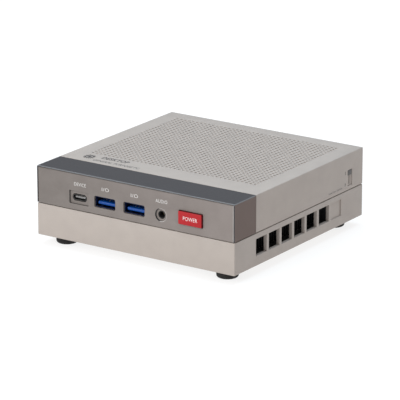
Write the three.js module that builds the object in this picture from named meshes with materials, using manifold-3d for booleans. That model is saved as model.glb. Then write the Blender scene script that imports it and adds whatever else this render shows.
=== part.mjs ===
// A square desktop mini computer with a perforated top, a wrap-around front bezel, front and rear
// sockets, and its board, memory, storage and blower cooler inside.
// Millimetres, +Z up, -Y is the front. The machine is modelled with z = 0 at the case's underside and
// then lifted onto its feet, so that the part's origin is on the table under the machine's middle.
import * as THREE from 'three';
import { mergeVertices } from 'three/addons/utils/BufferGeometryUtils.js';
import Module from 'manifold-3d';

const wasm = await Module();
wasm.setup();

// ---- Driving dimensions -------------------------------------------------------------------------
const SIDE = 128; // the case is square in plan
const FOOT_HEIGHT = 5.2; // from the table to the underside of the case
const CASE_HEIGHT = 39.2;
const SEAM_HEIGHT = 18.2; // parting line of the two half shells, above the case's underside
const GAP = 0.3; // air between two separate pieces
const SEAM_GAP = 0.5; // the shadow line between the two half shells
const WALL = 2;
const BEZEL_DEPTH = 20.2; // how far the front bezel reaches back over the top and the sides
const BEZEL_WALL = 1.6;
const BUTTON_PROUD = 1.2; // the power button stands this far out of the fascia
const BUTTON_TRAVEL = 0.6;

const HALF = SIDE / 2;
const INNER = HALF - WALL;
const TOP = CASE_HEIGHT;
const CEILING = TOP - WALL;
const LOWER_TOP = SEAM_HEIGHT - SEAM_GAP / 2;
const UPPER_BASE = SEAM_HEIGHT + SEAM_GAP / 2;
const BEZEL_BACK = -HALF + BEZEL_DEPTH;
const FLOOR = WALL;
const LIP_TOP = 19.8; // the lower shell's lip stands up behind the upper shell's walls

// Board, and what stands on it or hangs under it
const BOARD_THICK = 1.6;
const BOARD_TOP = 22;
const BOARD_BASE = BOARD_TOP - BOARD_THICK;
const ON_BOARD = BOARD_TOP + GAP;
const UNDER_BOARD = BOARD_BASE - GAP;
const PORT_Z = 25.3; // the height of the row of front sockets

// Front row, from left to right
const USB_C_X = -36.1;
const USB_LEFT_X = -19.1;
const USB_RIGHT_X = 0;
const AUDIO_X = 17.4;
const BUTTON_X = 36.5;
const BUTTON_Z = 26.5;
const BUTTON_WIDTH = 14.8;
const BUTTON_HEIGHT = 7.2;

// Screws and feet share their four places, so that the feet hide the screws
const FOOT_X = 52.4;
const FOOT_Y = 53.1;
const FOOT_RADIUS = 6;
const FOOT_RECESS = 1;

// Side vents
const VENT_COUNT = 6;
const VENT_PITCH = 12.45;
const VENT_WIDTH = 10.4;
const VENT_HEIGHT = 9.4;
const VENT_START = -43.5;
const VENT_BASE = 5.5;
const BLANK_DEPTH = 0.7; // the seventh window of the right side is only a recess

// Slide switch on the right side
const SLIDE_Y = 50.45;
const SLIDE_WIDTH = 4.7;
const SLIDE_BASE = 20.6;
const SLIDE_TOP = 29.7;
const SLIDE_DEPTH = 0.8;
const SLIDE_TRACK = 1.3; // width of the slit that the knob's stem runs in
const KNOB_HEIGHT = 3;

// Blower cooler under the board
const FAN_X = 6.5;
const FAN_Y = -7;
const FAN_REACH = 37; // radius of the round end of the blower's housing
const FAN_BASE = 3.2;
const FAN_TOP = 14.3;
const FAN_OUTLET_X = 43.7;
const SHEET = 1.2; // wall of the blower's housing
const ROTOR_RADIUS = 29;
const HUB_RADIUS = 13;
const INLET_RADIUS = 22;

// ---- Materials ----------------------------------------------------------------------------------
function material(color, roughness, metalness = 0) {
  return new THREE.MeshStandardMaterial({ color, roughness, metalness });
}
const shellPlastic = material(0xc8c2ba, 0.6);
const bezelPlastic = material(0x56575b, 0.5);
const fasciaPlastic = material(0x8e8783, 0.5);
const redPlastic = material(0xb9302f, 0.4);
const blackPlastic = material(0x18181a, 0.6);
const bluePlastic = material(0x1d4fc0, 0.4);
const rubber = material(0x121212, 0.85);
const steel = material(0xb8bbbd, 0.3, 1);
const copper = material(0xb87348, 0.3, 1);
const boardGreen = material(0x14432c, 0.5);
const chipBlack = material(0x1b1c1e, 0.45);
const darkMetal = material(0x2c2d30, 0.45, 0.8);

// ---- Building blocks ----------------------------------------------------------------------------
const machine = new THREE.Group();

// A closed three.js geometry as a manifold solid.
function solid(geometry) {
  const bare = geometry.clone();
  bare.deleteAttribute('normal');
  bare.deleteAttribute('uv');
  const merged = mergeVertices(bare, 1e-4);
  const mesh = new wasm.Mesh({
    numProp: 3,
    vertProperties: merged.attributes.position.array,
    triVerts: new Uint32Array(merged.index.array),
  });
  return new wasm.Manifold(mesh);
}

// A manifold solid as a flat-shaded three.js geometry.
function geometryOf(body) {
  const mesh = body.getMesh();
  const indexed = new THREE.BufferGeometry();
  indexed.setAttribute('position', new THREE.BufferAttribute(mesh.vertProperties, 3));
  indexed.setIndex(new THREE.BufferAttribute(mesh.triVerts, 1));
  const flat = indexed.toNonIndexed();
  flat.computeVertexNormals();
  return flat;
}

// Adds a named piece to the machine.
function piece(name, body, finish) {
  const mesh = new THREE.Mesh(geometryOf(body), finish);
  mesh.name = name;
  machine.add(mesh);
}

// A box between three pairs of limits.
function block([x0, x1], [y0, y1], [z0, z1]) {
  const geometry = new THREE.BoxGeometry(x1 - x0, y1 - y0, z1 - z0);
  geometry.translate((x0 + x1) / 2, (y0 + y1) / 2, (z0 + z1) / 2);
  return solid(geometry);
}

// The limits of something of this size about a middle.
function about(middle, size) {
  return [middle - size / 2, middle + size / 2];
}

// The limits from a start over a length.
function from(start, length) {
  return [start, start + length];
}

// An upright round bar.
function post(radius, x, y, [z0, z1], sides = 24) {
  const geometry = new THREE.CylinderGeometry(radius, radius, z1 - z0, sides);
  geometry.rotateX(Math.PI / 2);
  geometry.translate(x, y, (z0 + z1) / 2);
  return solid(geometry);
}

// A round bar that runs front to back.
function bar(radius, x, z, [y0, y1], sides = 24) {
  const geometry = new THREE.CylinderGeometry(radius, radius, y1 - y0, sides);
  geometry.translate(x, (y0 + y1) / 2, z);
  return solid(geometry);
}

// A flat outline in X and Y, raised between two heights.
function raised(outline, [z0, z1], curveSegments = 8) {
  const geometry = new THREE.ExtrudeGeometry(outline, {
    depth: z1 - z0, bevelEnabled: false, curveSegments,
  });
  geometry.translate(0, 0, z0);
  return solid(geometry);
}

// A flat outline in X and Z, stretched front to back.
function stretched(outline, [y0, y1], curveSegments = 6) {
  const geometry = new THREE.ExtrudeGeometry(outline, {
    depth: y1 - y0, bevelEnabled: false, curveSegments,
  });
  geometry.rotateX(Math.PI / 2);
  geometry.translate(0, y1, 0);
  return solid(geometry);
}

// A rectangle with round corners, about a middle.
function roundedRectangle(x, z, width, height, radius) {
  const [left, right] = about(x, width);
  const [low, high] = about(z, height);
  const outline = new THREE.Shape();
  outline.moveTo(left + radius, low);
  outline.lineTo(right - radius, low);
  outline.absarc(right - radius, low + radius, radius, -Math.PI / 2, 0);
  outline.lineTo(right, high - radius);
  outline.absarc(right - radius, high - radius, radius, 0, Math.PI / 2);
  outline.lineTo(left + radius, high);
  outline.absarc(left + radius, high - radius, radius, Math.PI / 2, Math.PI);
  outline.lineTo(left, low + radius);
  outline.absarc(left + radius, low + radius, radius, Math.PI, 1.5 * Math.PI);
  return outline;
}

// A tube along a smooth line through a few points.
function tube(points, radius, steps) {
  const section = new THREE.Shape();
  section.absarc(0, 0, radius, 0, 2 * Math.PI);
  const line = new THREE.CatmullRomCurve3(points.map((p) => new THREE.Vector3(...p)));
  return solid(new THREE.ExtrudeGeometry(section, {
    steps, curveSegments: 8, extrudePath: line, bevelEnabled: false,
  }));
}

function joined(bodies) {
  return bodies.reduce((whole, body) => whole.add(body));
}

function without(body, cuts) {
  return cuts.reduce((rest, cut) => rest.subtract(cut), body);
}

const corners = [
  ['front_left', -1, -1],
  ['front_right', 1, -1],
  ['rear_left', -1, 1],
  ['rear_right', 1, 1],
];

// ---- Rear row: sockets on the board, and the panel they look through ------------------------------
const REAR_FACE = HALF - 0.4; // the rear panel lies a little inside the case
const SOCKET_REAR = REAR_FACE - 0.3;
const DC_X = -43.1;
const HDMI_X = -28.1;
const DISPLAY_X = -9.3;
const USB_REAR_LEFT_X = 8.4;
const USB_REAR_RIGHT_X = 24.5;
const LAN_X = 40.5;
const LAN_WIDTH = 16;
const LAN_HEIGHT = 11.5;
const DC_SIZE = 9;
const PANEL_HALF = 50.2;
const PANEL_BASE = 20.2;
const PANEL_TOP = 36.2;

// ---- Case -----------------------------------------------------------------------------------------
const PILLAR_RADIUS = 3.2;
const BOSS_RADIUS = 4.6;
const SCREW_BORE = 1.8;
const COLLAR_BASE = 16.1; // the upper shell's narrow front part reaches down inside the lower shell
const COLLAR_FRONT = -61.5;
const COLLAR_HALF = HALF - BEZEL_WALL - GAP - 0.4;
const COLLAR_TOP = TOP - BEZEL_WALL - GAP;
const COLLAR_WALL = 1.7;

function slideSwitchCuts() {
  const pocket = block(
    [HALF - SLIDE_DEPTH, HALF + 1], about(SLIDE_Y, SLIDE_WIDTH), [SLIDE_BASE, SLIDE_TOP]);
  const track = block(
    [INNER - 1, HALF], about(SLIDE_Y, SLIDE_TRACK), [SLIDE_BASE + 0.4, SLIDE_TOP - 0.4]);
  return [pocket, track];
}

function upperShell() {
  const hood = without(block([-HALF, HALF], [BEZEL_BACK + GAP, HALF], [UPPER_BASE, TOP]), [
    block([-INNER, INNER], [BEZEL_BACK + GAP + WALL, INNER], [UPPER_BASE - 1, CEILING]),
  ]);
  const collarInside = COLLAR_HALF - COLLAR_WALL;
  const collar = block(
    [-COLLAR_HALF, COLLAR_HALF], [COLLAR_FRONT, BEZEL_BACK + GAP + 0.1], [COLLAR_BASE, COLLAR_TOP]);
  const passage = block([-collarInside, collarInside],
    [COLLAR_FRONT - 1, BEZEL_BACK + GAP + WALL + 1], [COLLAR_BASE - 1, COLLAR_TOP - COLLAR_WALL]);
  const pillars = corners.map(([, sx, sy]) => post(PILLAR_RADIUS, sx * FOOT_X, sy * FOOT_Y,
    [ON_BOARD, sy < 0 ? COLLAR_TOP - 1 : CEILING + 1]));
  const bores = corners.map(([, sx, sy]) => post(
    SCREW_BORE, sx * FOOT_X, sy * FOOT_Y, [ON_BOARD - 1, 33.2]));
  const window = block([-PANEL_HALF - GAP, PANEL_HALF + GAP], [INNER - 1, HALF + 1],
    [PANEL_BASE - GAP, PANEL_TOP + GAP]);
  const empty = without(joined([hood, collar]), [passage, window, ...slideSwitchCuts()]);
  return without(joined([empty, ...pillars]), bores);
}

function ventWindow(side, index, depth) {
  const outer = side * (HALF + 1);
  const inner = side * (HALF - depth);
  return block([Math.min(outer, inner), Math.max(outer, inner)],
    from(VENT_START + index * VENT_PITCH, VENT_WIDTH), from(VENT_BASE, VENT_HEIGHT));
}

// Slots in the floor under the blower's inlet, in two columns.
function floorSlots() {
  const slots = [];
  const rows = 11;
  const pitch = 4;
  const length = 21;
  for (const side of [-1, 1]) {
    for (let row = 0; row < rows; row += 1) {
      const y = FAN_Y + (row - (rows - 1) / 2) * pitch;
      const x = FAN_X + side * (length / 2 + 1.5);
      slots.push(block(about(x, length), about(y, 2), [-1, FLOOR + 1]));
    }
  }
  return slots;
}

// Upright exhaust slots in the rear wall of the lower shell.
function rearSlots() {
  const slots = [];
  const count = 14;
  const pitch = 6;
  for (let i = 0; i < count; i += 1) {
    const x = (i - (count - 1) / 2) * pitch;
    slots.push(block(about(x, 2.6), [INNER - 1, HALF + 1], from(VENT_BASE, VENT_HEIGHT)));
  }
  return slots;
}

function lowerShell() {
  const tray = without(block([-HALF, HALF], [-HALF, HALF], [0, LOWER_TOP]), [
    block([-INNER, INNER], [-INNER, INNER], [FLOOR, LOWER_TOP + 1]),
  ]);
  // The lip keeps light out of the seam, behind the upper shell's side and rear walls.
  const lipOuter = INNER - GAP;
  const lipInner = lipOuter - 1.1;
  const lipFront = BEZEL_BACK + GAP + WALL + GAP;
  const lip = without(block([-lipOuter, lipOuter], [lipFront, lipOuter], [LOWER_TOP - 2.2, LIP_TOP]), [
    block([-lipInner, lipInner], [lipFront - 1, lipInner], [LOWER_TOP - 4, LIP_TOP + 1]),
  ]);
  const lipRoot = without(block([-INNER - 0.1, INNER + 0.1], [lipFront, INNER + 0.1],
    [LOWER_TOP - 2.2, LOWER_TOP - 1]), [
    block([-lipInner, lipInner], [lipFront - 1, lipInner], [LOWER_TOP - 4, LOWER_TOP]),
  ]);
  const bosses = corners.map(([, sx, sy]) => post(
    BOSS_RADIUS, sx * FOOT_X, sy * FOOT_Y, [1.5, UNDER_BOARD]));
  const cuts = [...floorSlots(), ...rearSlots()];
  for (const side of [-1, 1]) {
    for (let i = 0; i < VENT_COUNT; i += 1) cuts.push(ventWindow(side, i, WALL + 1));
    cuts.push(ventWindow(side, VENT_COUNT, BLANK_DEPTH));
  }
  for (const [, sx, sy] of corners) {
    const [x, y] = [sx * FOOT_X, sy * FOOT_Y];
    cuts.push(post(FOOT_RADIUS + GAP, x, y, [-1, FOOT_RECESS], 32));
    cuts.push(post(3.3, x, y, [0, 5]));
    cuts.push(post(SCREW_BORE, x, y, [0, UNDER_BOARD + 1]));
  }
  return without(joined([tray, lip, lipRoot, ...bosses]), cuts);
}

const FASCIA_EDGE = 1; // thickness of the fascia where its rim shows
const FASCIA_BODY = 2.2;
const RIM_LIP = 0.5; // the bezel's front rim, which frames the fascia at the top and both sides
const FASCIA_HALF = HALF - RIM_LIP - GAP;
const FASCIA_TOP = TOP - RIM_LIP - GAP;
const DISH = 0.8; // depth of the dished surrounds of the small sockets

function frontBezel() {
  const behindRim = -HALF + FASCIA_EDGE + GAP;
  const cap = block([-HALF, HALF], [behindRim, BEZEL_BACK], [UPPER_BASE, TOP]);
  const inside = HALF - BEZEL_WALL;
  const hollow = block([-inside, inside], [behindRim - 1, BEZEL_BACK + 1],
    [UPPER_BASE - 1, TOP - BEZEL_WALL]);
  const lipHalf = HALF - RIM_LIP;
  const lipY = [-HALF, behindRim + 0.1];
  const lip = block([-HALF, HALF], lipY, [UPPER_BASE, TOP]).subtract(
    block([-lipHalf, lipHalf], [lipY[0] - 1, lipY[1] + 1], [UPPER_BASE - 1, TOP - RIM_LIP]));
  return joined([cap, lip]).subtract(hollow);
}

function frontFascia() {
  const rim = block([-FASCIA_HALF, FASCIA_HALF], from(-HALF, FASCIA_EDGE), [UPPER_BASE, FASCIA_TOP]);
  const body = block([-61, 61], from(-HALF, FASCIA_BODY), [UPPER_BASE, COLLAR_TOP]);
  const tab = block([-57, 57], [-HALF + FASCIA_BODY, -60.8], [COLLAR_BASE, UPPER_BASE + 2]);
  const tabRoot = block([-57, 57], [-62.5, -60.8], [UPPER_BASE, UPPER_BASE + 2]);
  const throughY = [-HALF - 1, -58];
  const dishY = [-HALF - 1, -HALF + DISH];
  const cuts = [
    stretched(roundedRectangle(USB_C_X, PORT_Z, 12.6, 7.3, 0.5), dishY, 3),
    stretched(roundedRectangle(USB_C_X, PORT_Z, 9.5, 4.1, 2), throughY),
    stretched(roundedRectangle(USB_LEFT_X, PORT_Z, 13.8, 6.4, 0.6), throughY, 3),
    stretched(roundedRectangle(USB_RIGHT_X, PORT_Z, 13.8, 6.4, 0.6), throughY, 3),
    bar(3.45, AUDIO_X, PORT_Z, dishY, 32),
    bar(2.3, AUDIO_X, PORT_Z, throughY, 32),
    stretched(roundedRectangle(BUTTON_X, BUTTON_Z, BUTTON_WIDTH + 2 * GAP,
      BUTTON_HEIGHT + 2 * GAP, 0.5), throughY, 3),
  ];
  return without(joined([rim, body, tab, tabRoot]), cuts);
}

function rearPanel() {
  const plate = block([-PANEL_HALF, PANEL_HALF], [60.9, REAR_FACE], [PANEL_BASE, PANEL_TOP]);
  const flange = block([-PANEL_HALF - 1.3, PANEL_HALF + 1.3], [60.9, INNER - GAP],
    [PANEL_BASE - 0.1, CEILING - GAP]);
  const through = [60, HALF];
  const openings = [
    bar(3.4, DC_X, ON_BOARD + DC_SIZE / 2, through),
    stretched(roundedRectangle(HDMI_X, PORT_Z, 15.7, 6.3, 0.4), through, 2),
    stretched(roundedRectangle(DISPLAY_X, PORT_Z, 17.1, 6.3, 0.4), through, 2),
    stretched(roundedRectangle(USB_REAR_LEFT_X, PORT_Z, 13.8, 6.4, 0.4), through, 2),
    stretched(roundedRectangle(USB_REAR_RIGHT_X, PORT_Z, 13.8, 6.4, 0.4), through, 2),
    block(about(LAN_X, LAN_WIDTH + 2 * GAP), through, [ON_BOARD - GAP, ON_BOARD + LAN_HEIGHT + GAP]),
  ];
  return without(joined([plate, flange]), openings);
}

function foot() {
  const edge = 1.4;
  const low = -FOOT_HEIGHT;
  const top = FOOT_RECESS - GAP;
  const profile = [new THREE.Vector2(0, low), new THREE.Vector2(FOOT_RADIUS - edge, low)];
  const steps = 3;
  for (let i = 1; i <= steps; i += 1) {
    const angle = (i / steps) * (Math.PI / 2);
    profile.push(new THREE.Vector2(
      FOOT_RADIUS - edge + edge * Math.sin(angle), low + edge - edge * Math.cos(angle)));
  }
  profile.push(new THREE.Vector2(FOOT_RADIUS, top), new THREE.Vector2(0, top));
  const geometry = new THREE.LatheGeometry(profile, 32);
  geometry.rotateX(Math.PI / 2);
  return solid(geometry);
}

// A cap screw up through the lower shell, the board and into the upper shell's pillar.
function caseScrew() {
  const headBase = 2.1;
  const shoulder = headBase + 2.6;
  const head = post(2.75, 0, 0, [headBase, shoulder], 20);
  const socket = post(1.3, 0, 0, [headBase - 1, headBase + 1.3], 6);
  const shank = post(1.5, 0, 0, [shoulder - 0.1, 31.2], 24);
  return joined([head, shank]).subtract(socket);
}

piece('upper_shell', upperShell(), shellPlastic);
piece('lower_shell', lowerShell(), shellPlastic);
piece('front_bezel', frontBezel(), bezelPlastic);
piece('front_fascia', frontFascia(), fasciaPlastic);
piece('rear_panel', rearPanel(), blackPlastic);
for (const [place, sx, sy] of corners) {
  piece(`foot_${place}`, foot().translate([sx * FOOT_X, sy * FOOT_Y, 0]), rubber);
  piece(`case_screw_${place}`, caseScrew().translate([sx * FOOT_X, sy * FOOT_Y, 0]), steel);
}

// ---- Power button ----------------------------------------------------------------------------------
const SWITCH_FRONT = -57;
const PLUNGER_FRONT = -58.7;

function powerButton() {
  const front = -HALF - BUTTON_PROUD;
  const flangeFront = -HALF + FASCIA_BODY + GAP;
  const cap = stretched(
    roundedRectangle(BUTTON_X, BUTTON_Z, BUTTON_WIDTH, BUTTON_HEIGHT, 0.4), [front, flangeFront + 0.1], 3);
  const flange = block(about(BUTTON_X, BUTTON_WIDTH + 2), from(flangeFront, 0.9),
    about(BUTTON_Z, BUTTON_HEIGHT + 1.2));
  const stem = bar(1.2, BUTTON_X, BUTTON_Z, [flangeFront, PLUNGER_FRONT - GAP], 12);
  return joined([cap, flange, stem]);
}

function powerSwitch() {
  const body = block(about(BUTTON_X, 6.2), from(SWITCH_FRONT, 3.6), [ON_BOARD, BUTTON_Z + 2.2]);
  const bore = bar(1.3, BUTTON_X, BUTTON_Z, [SWITCH_FRONT - 1, SWITCH_FRONT + 2.6], 12);
  return body.subtract(bore);
}

piece('power_button', powerButton(), redPlastic);
piece('power_switch', powerSwitch(), blackPlastic);
piece('power_switch_plunger', bar(0.95, BUTTON_X, BUTTON_Z,
  [PLUNGER_FRONT, SWITCH_FRONT + 2.6 - GAP - BUTTON_TRAVEL], 12), steel);

// ---- Sockets ---------------------------------------------------------------------------------------
// Each socket is made facing the front, at the middle of the front row, with its mouth at y = 0.
function turnedToRear(body) {
  return body.rotate([0, 0, 180]);
}

const USB_LENGTH = 14;
function usbShell() {
  const outer = stretched(roundedRectangle(0, PORT_Z, 13.1, 5.7, 0.5), [0, USB_LENGTH], 2);
  const inner = stretched(roundedRectangle(0, PORT_Z, 12.5, 5.1, 0.3), [-1, USB_LENGTH - 0.5], 2);
  return outer.subtract(inner);
}

// The contact tongue sits low in the socket, on a block that closes the back of it.
function usbTongue() {
  const tongue = block(about(0, 11.1), [1.3, 11], from(PORT_Z - 1.85, 1.85));
  const backing = block(about(0, 11.9), [10.9, USB_LENGTH - 0.5 - GAP], about(PORT_Z, 4.5));
  return joined([tongue, backing]);
}

const USB_C_LENGTH = 7.5;
function usbCShell() {
  const outer = stretched(roundedRectangle(0, PORT_Z, 8.9, 3.2, 1.55), [0, USB_C_LENGTH]);
  const inner = stretched(roundedRectangle(0, PORT_Z, 8.3, 2.6, 1.25), [-1, USB_C_LENGTH - 0.5]);
  return outer.subtract(inner);
}

function usbCTongue() {
  const tongue = block(about(0, 6.5), [0.9, 5.2], about(PORT_Z, 0.7));
  const root = block(about(0, 6.9), [5.1, USB_C_LENGTH - 0.5 - GAP], about(PORT_Z, 1.9));
  return joined([tongue, root]);
}

function audioJack() {
  const nose = bar(2.05, 0, PORT_Z, [0, 3], 24);
  const body = block(about(0, 6.2), [2.4, 13], about(PORT_Z, 5.7));
  return joined([nose, body]).subtract(bar(1.78, 0, PORT_Z, [-1, 12], 20));
}

const mouth = -HALF + DISH;
for (const [side, x] of [['left', USB_LEFT_X], ['right', USB_RIGHT_X]]) {
  piece(`usb_front_${side}_shell`, usbShell().translate([x, mouth, 0]), steel);
  piece(`usb_front_${side}_tongue`, usbTongue().translate([x, mouth, 0]), bluePlastic);
}
piece('usb_c_shell', usbCShell().translate([USB_C_X, mouth, 0]), steel);
piece('usb_c_tongue', usbCTongue().translate([USB_C_X, mouth, 0]), blackPlastic);
piece('audio_jack', audioJack().translate([AUDIO_X, mouth, 0]), blackPlastic);

for (const [side, x] of [['left', USB_REAR_LEFT_X], ['right', USB_REAR_RIGHT_X]]) {
  piece(`usb_rear_${side}_shell`, turnedToRear(usbShell()).translate([x, SOCKET_REAR, 0]), steel);
  piece(`usb_rear_${side}_tongue`, turnedToRear(usbTongue()).translate([x, SOCKET_REAR, 0]), bluePlastic);
}

// Outline of a video socket: a rectangle with its two lower corners cut off, or only one of them.
function videoOutline(width, height, cutLeft, cutRight) {
  const [left, right] = about(0, width);
  const [low, high] = about(PORT_Z, height);
  const outline = new THREE.Shape();
  outline.moveTo(left + cutLeft, low);
  outline.lineTo(right - cutRight, low);
  outline.lineTo(right, low + cutRight);
  outline.lineTo(right, high);
  outline.lineTo(left, high);
  outline.lineTo(left, low + cutLeft);
  return outline;
}

// A video socket is one steel mouth with its tongue standing free in the middle.
function videoSocket(width, height, cutLeft, cutRight, tongueWidth) {
  const sheet = 0.35;
  const length = 11;
  const wall = stretched(videoOutline(width, height, cutLeft, cutRight), [0, length]);
  const space = stretched(videoOutline(width - 2 * sheet, height - 2 * sheet,
    Math.max(cutLeft - 0.2, 0.1), Math.max(cutRight - 0.2, 0.1)), [-1, length - 3]);
  const tongue = block(about(0, tongueWidth), [1, length - 2], about(PORT_Z + 0.2, 1.1));
  return wall.subtract(space).add(tongue);
}

piece('hdmi_socket', turnedToRear(videoSocket(15, 5.5, 1.6, 1.6, 11.5))
  .translate([HDMI_X, SOCKET_REAR, 0]), steel);
piece('display_socket', turnedToRear(videoSocket(16.4, 5.5, 1.8, 0.2, 12.6))
  .translate([DISPLAY_X, SOCKET_REAR, 0]), steel);

function lanJack() {
  const depth = 15;
  const back = SOCKET_REAR - depth;
  const body = block(about(LAN_X, LAN_WIDTH), [back, SOCKET_REAR], from(ON_BOARD, LAN_HEIGHT));
  const mouthY = [back + 2, SOCKET_REAR + 1];
  const cavity = block(about(LAN_X, 11.8), mouthY, from(ON_BOARD + 1.2, 7));
  const latch = block(about(LAN_X, 6), mouthY, from(ON_BOARD + 8, 2.2));
  return without(body, [cavity, latch]);
}

function dcJack() {
  const depth = 12;
  const back = SOCKET_REAR - depth;
  const z = ON_BOARD + DC_SIZE / 2;
  const body = block(about(DC_X, DC_SIZE), [back, 60.5], from(ON_BOARD, DC_SIZE));
  const nose = bar(3.05, DC_X, z, [60, SOCKET_REAR], 24);
  const bore = bar(2.6, DC_X, z, [back + 2, SOCKET_REAR + 1], 24);
  const pin = bar(1.05, DC_X, z, [back + 1, SOCKET_REAR - 1.5], 12);
  return joined([body, nose]).subtract(bore).add(pin);
}

piece('lan_jack', lanJack(), steel);
piece('dc_jack', dcJack(), blackPlastic);

// ---- Slide switch on the right side ------------------------------------------------------------------
function slideKnob() {
  const knobTop = SLIDE_TOP - 0.15;
  const knobMiddle = knobTop - KNOB_HEIGHT / 2;
  const inner = HALF - SLIDE_DEPTH + GAP;
  let knob = block([inner, HALF], about(SLIDE_Y, SLIDE_WIDTH - 0.6),
    [knobTop - KNOB_HEIGHT, knobTop]);
  for (const step of [-1, 0, 1]) {
    knob = knob.subtract(block([HALF - 0.25, HALF + 1], about(SLIDE_Y, SLIDE_WIDTH),
      about(knobMiddle + step * 0.8, 0.35)));
  }
  const stem = block([60.3, inner + 0.1], about(SLIDE_Y, SLIDE_TRACK - 2 * GAP), about(knobMiddle, 1.5));
  return joined([knob, stem]);
}

function slideSwitch() {
  const body = block([57.2, INNER - 0.5], [46.6, 56], [LIP_TOP + GAP, SLIDE_TOP + 2.2]);
  const wing = block([55, 58.2], [43.8, 47.4], from(ON_BOARD, 2.4));
  const track = block([60, INNER], about(SLIDE_Y, SLIDE_TRACK),
    [SLIDE_BASE - 0.2, SLIDE_TOP + 0.2]);
  return joined([body, wing]).subtract(track);
}

piece('slide_knob', slideKnob(), darkMetal);
piece('slide_switch', slideSwitch(), blackPlastic);

// ---- Board and what is plugged into it ------------------------------------------------------------------
function mainBoard() {
  const plate = block([-58.5, 58.5], [-59.6, 60.2], [BOARD_BASE, BOARD_TOP]);
  const holes = corners.map(([, sx, sy]) => post(
    SCREW_BORE + 0.1, sx * FOOT_X, sy * FOOT_Y, [BOARD_BASE - 1, BOARD_TOP + 1]));
  const notch = block([56.9, 60], [46.2, 56.4], [BOARD_BASE - 1, BOARD_TOP + 1]);
  return without(plate, [...holes, notch]);
}

// A card-edge socket along X, open towards +Y at the height of its card.
function edgeSocket(half, [y0, y1], top, slotMiddle) {
  const body = block([-half, half], [y0, y1], [ON_BOARD, top]);
  return body.subtract(block([-half + 1, half - 1], [y1 - 3.6, y1 + 1], about(slotMiddle, 1.6)));
}

// A memory socket with its two latch arms.
function memorySocket(y, top, slotMiddle) {
  const socket = edgeSocket(36.5, [y, y + 6.4], top, slotMiddle);
  const arms = [-1, 1].map((side) => block(
    [Math.min(side * 35.3, side * 37.4), Math.max(side * 35.3, side * 37.4)],
    [y + 6.3, y + 28], [slotMiddle - 0.8, top]));
  return joined([socket, ...arms]);
}

function memoryModule(y, middle) {
  const card = block([-34.8, 34.8], [y + 3.1, y + 33.1], about(middle, 1));
  const chips = [-24, -8, 8, 24].map((x) => block(
    about(x, 11), [y + 14, y + 26], [middle + 0.4, middle + 1.6]));
  return joined([card, ...chips]);
}

const MEMORY_Y = -34;
piece('main_board', mainBoard(), boardGreen);
piece('memory_socket_lower', memorySocket(MEMORY_Y, 26.4, 24.4), blackPlastic);
piece('memory_module_lower', memoryModule(MEMORY_Y, 24.4), boardGreen);
piece('memory_socket_upper', memorySocket(MEMORY_Y - 6.8, 31, 29), blackPlastic);
piece('memory_module_upper', memoryModule(MEMORY_Y - 6.8, 29), boardGreen);

// An M.2 card along X: its socket, the card and the screw at its far end.
const CARD_Z = 25.8;
function cardSocket(x, y) {
  const body = block([x, x + 5], about(y, 21.6), [ON_BOARD, 27.6]);
  return body.subtract(block([x + 2, x + 6], about(y, 20.6), about(CARD_Z, 1.5)));
}

function card(x, y, length, chips) {
  const start = x + 2.4;
  const plate = block([start, start + length], about(y, 20), about(CARD_Z, 0.8));
  const notch = post(2, start + length, y, [CARD_Z - 1, CARD_Z + 1], 16);
  const parts = chips.map(([at, size]) => block(
    from(start + at, size), about(y, 14), [CARD_Z + 0.3, CARD_Z + 1.7]));
  return joined([plate, ...parts]).subtract(notch);
}

const STORAGE_X = -44;
const STORAGE_Y = 34.4;
const STORAGE_LENGTH = 80;
const WIFI_X = 4;
const WIFI_Y = 11.4;
const WIFI_LENGTH = 30;
piece('storage_socket', cardSocket(STORAGE_X, STORAGE_Y), blackPlastic);
piece('storage_card', card(STORAGE_X, STORAGE_Y, STORAGE_LENGTH, [[10, 12], [28, 18], [50, 18]]), boardGreen);
piece('storage_screw', joined([
  post(2.6, STORAGE_X + 2.4 + STORAGE_LENGTH, STORAGE_Y, [ON_BOARD, CARD_Z - 0.4 - GAP], 16),
  post(1.5, STORAGE_X + 2.4 + STORAGE_LENGTH, STORAGE_Y, [ON_BOARD + 1, CARD_Z + 1], 16),
  post(2.6, STORAGE_X + 2.4 + STORAGE_LENGTH, STORAGE_Y, [CARD_Z + 0.4 + GAP, CARD_Z + 2], 16),
]), steel);
piece('wireless_socket', cardSocket(WIFI_X, WIFI_Y), blackPlastic);
piece('wireless_card', card(WIFI_X, WIFI_Y, WIFI_LENGTH, [[8, 15]]), boardGreen);
piece('coin_cell', post(10, -20, 11.4, [ON_BOARD, ON_BOARD + 3.2], 32), steel);

// Antennas lie flat on the upper shell's side walls; each thin lead runs back to the wireless card.
const ANTENNA_FACE = INNER - GAP;
for (const [side, sign] of [['left', -1], ['right', 1]]) {
  const limits = [sign * ANTENNA_FACE, sign * (ANTENNA_FACE - 0.6)].sort((a, b) => a - b);
  piece(`antenna_${side}`, block(limits, [-8, 24], [24.2, 32.2]), darkMetal);
}
const LEAD = 0.55;
piece('antenna_lead_right', tube([
  [31.5, 7, 28.1], [37, 5, 29.8], [46, 3, 30.6], [55, 5, 29.8], [60.2, 7, 28.2],
], LEAD, 18), blackPlastic);
piece('antenna_lead_left', tube([
  [31.5, 15.8, 28.1], [28, 17, 32.2], [20, 16, 34.8], [4, 12, 35.6], [-16, 9, 35.6],
  [-38, 8, 35.2], [-52, 8, 32.8], [-60.2, 8, 28.7],
], LEAD, 36), blackPlastic);

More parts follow.
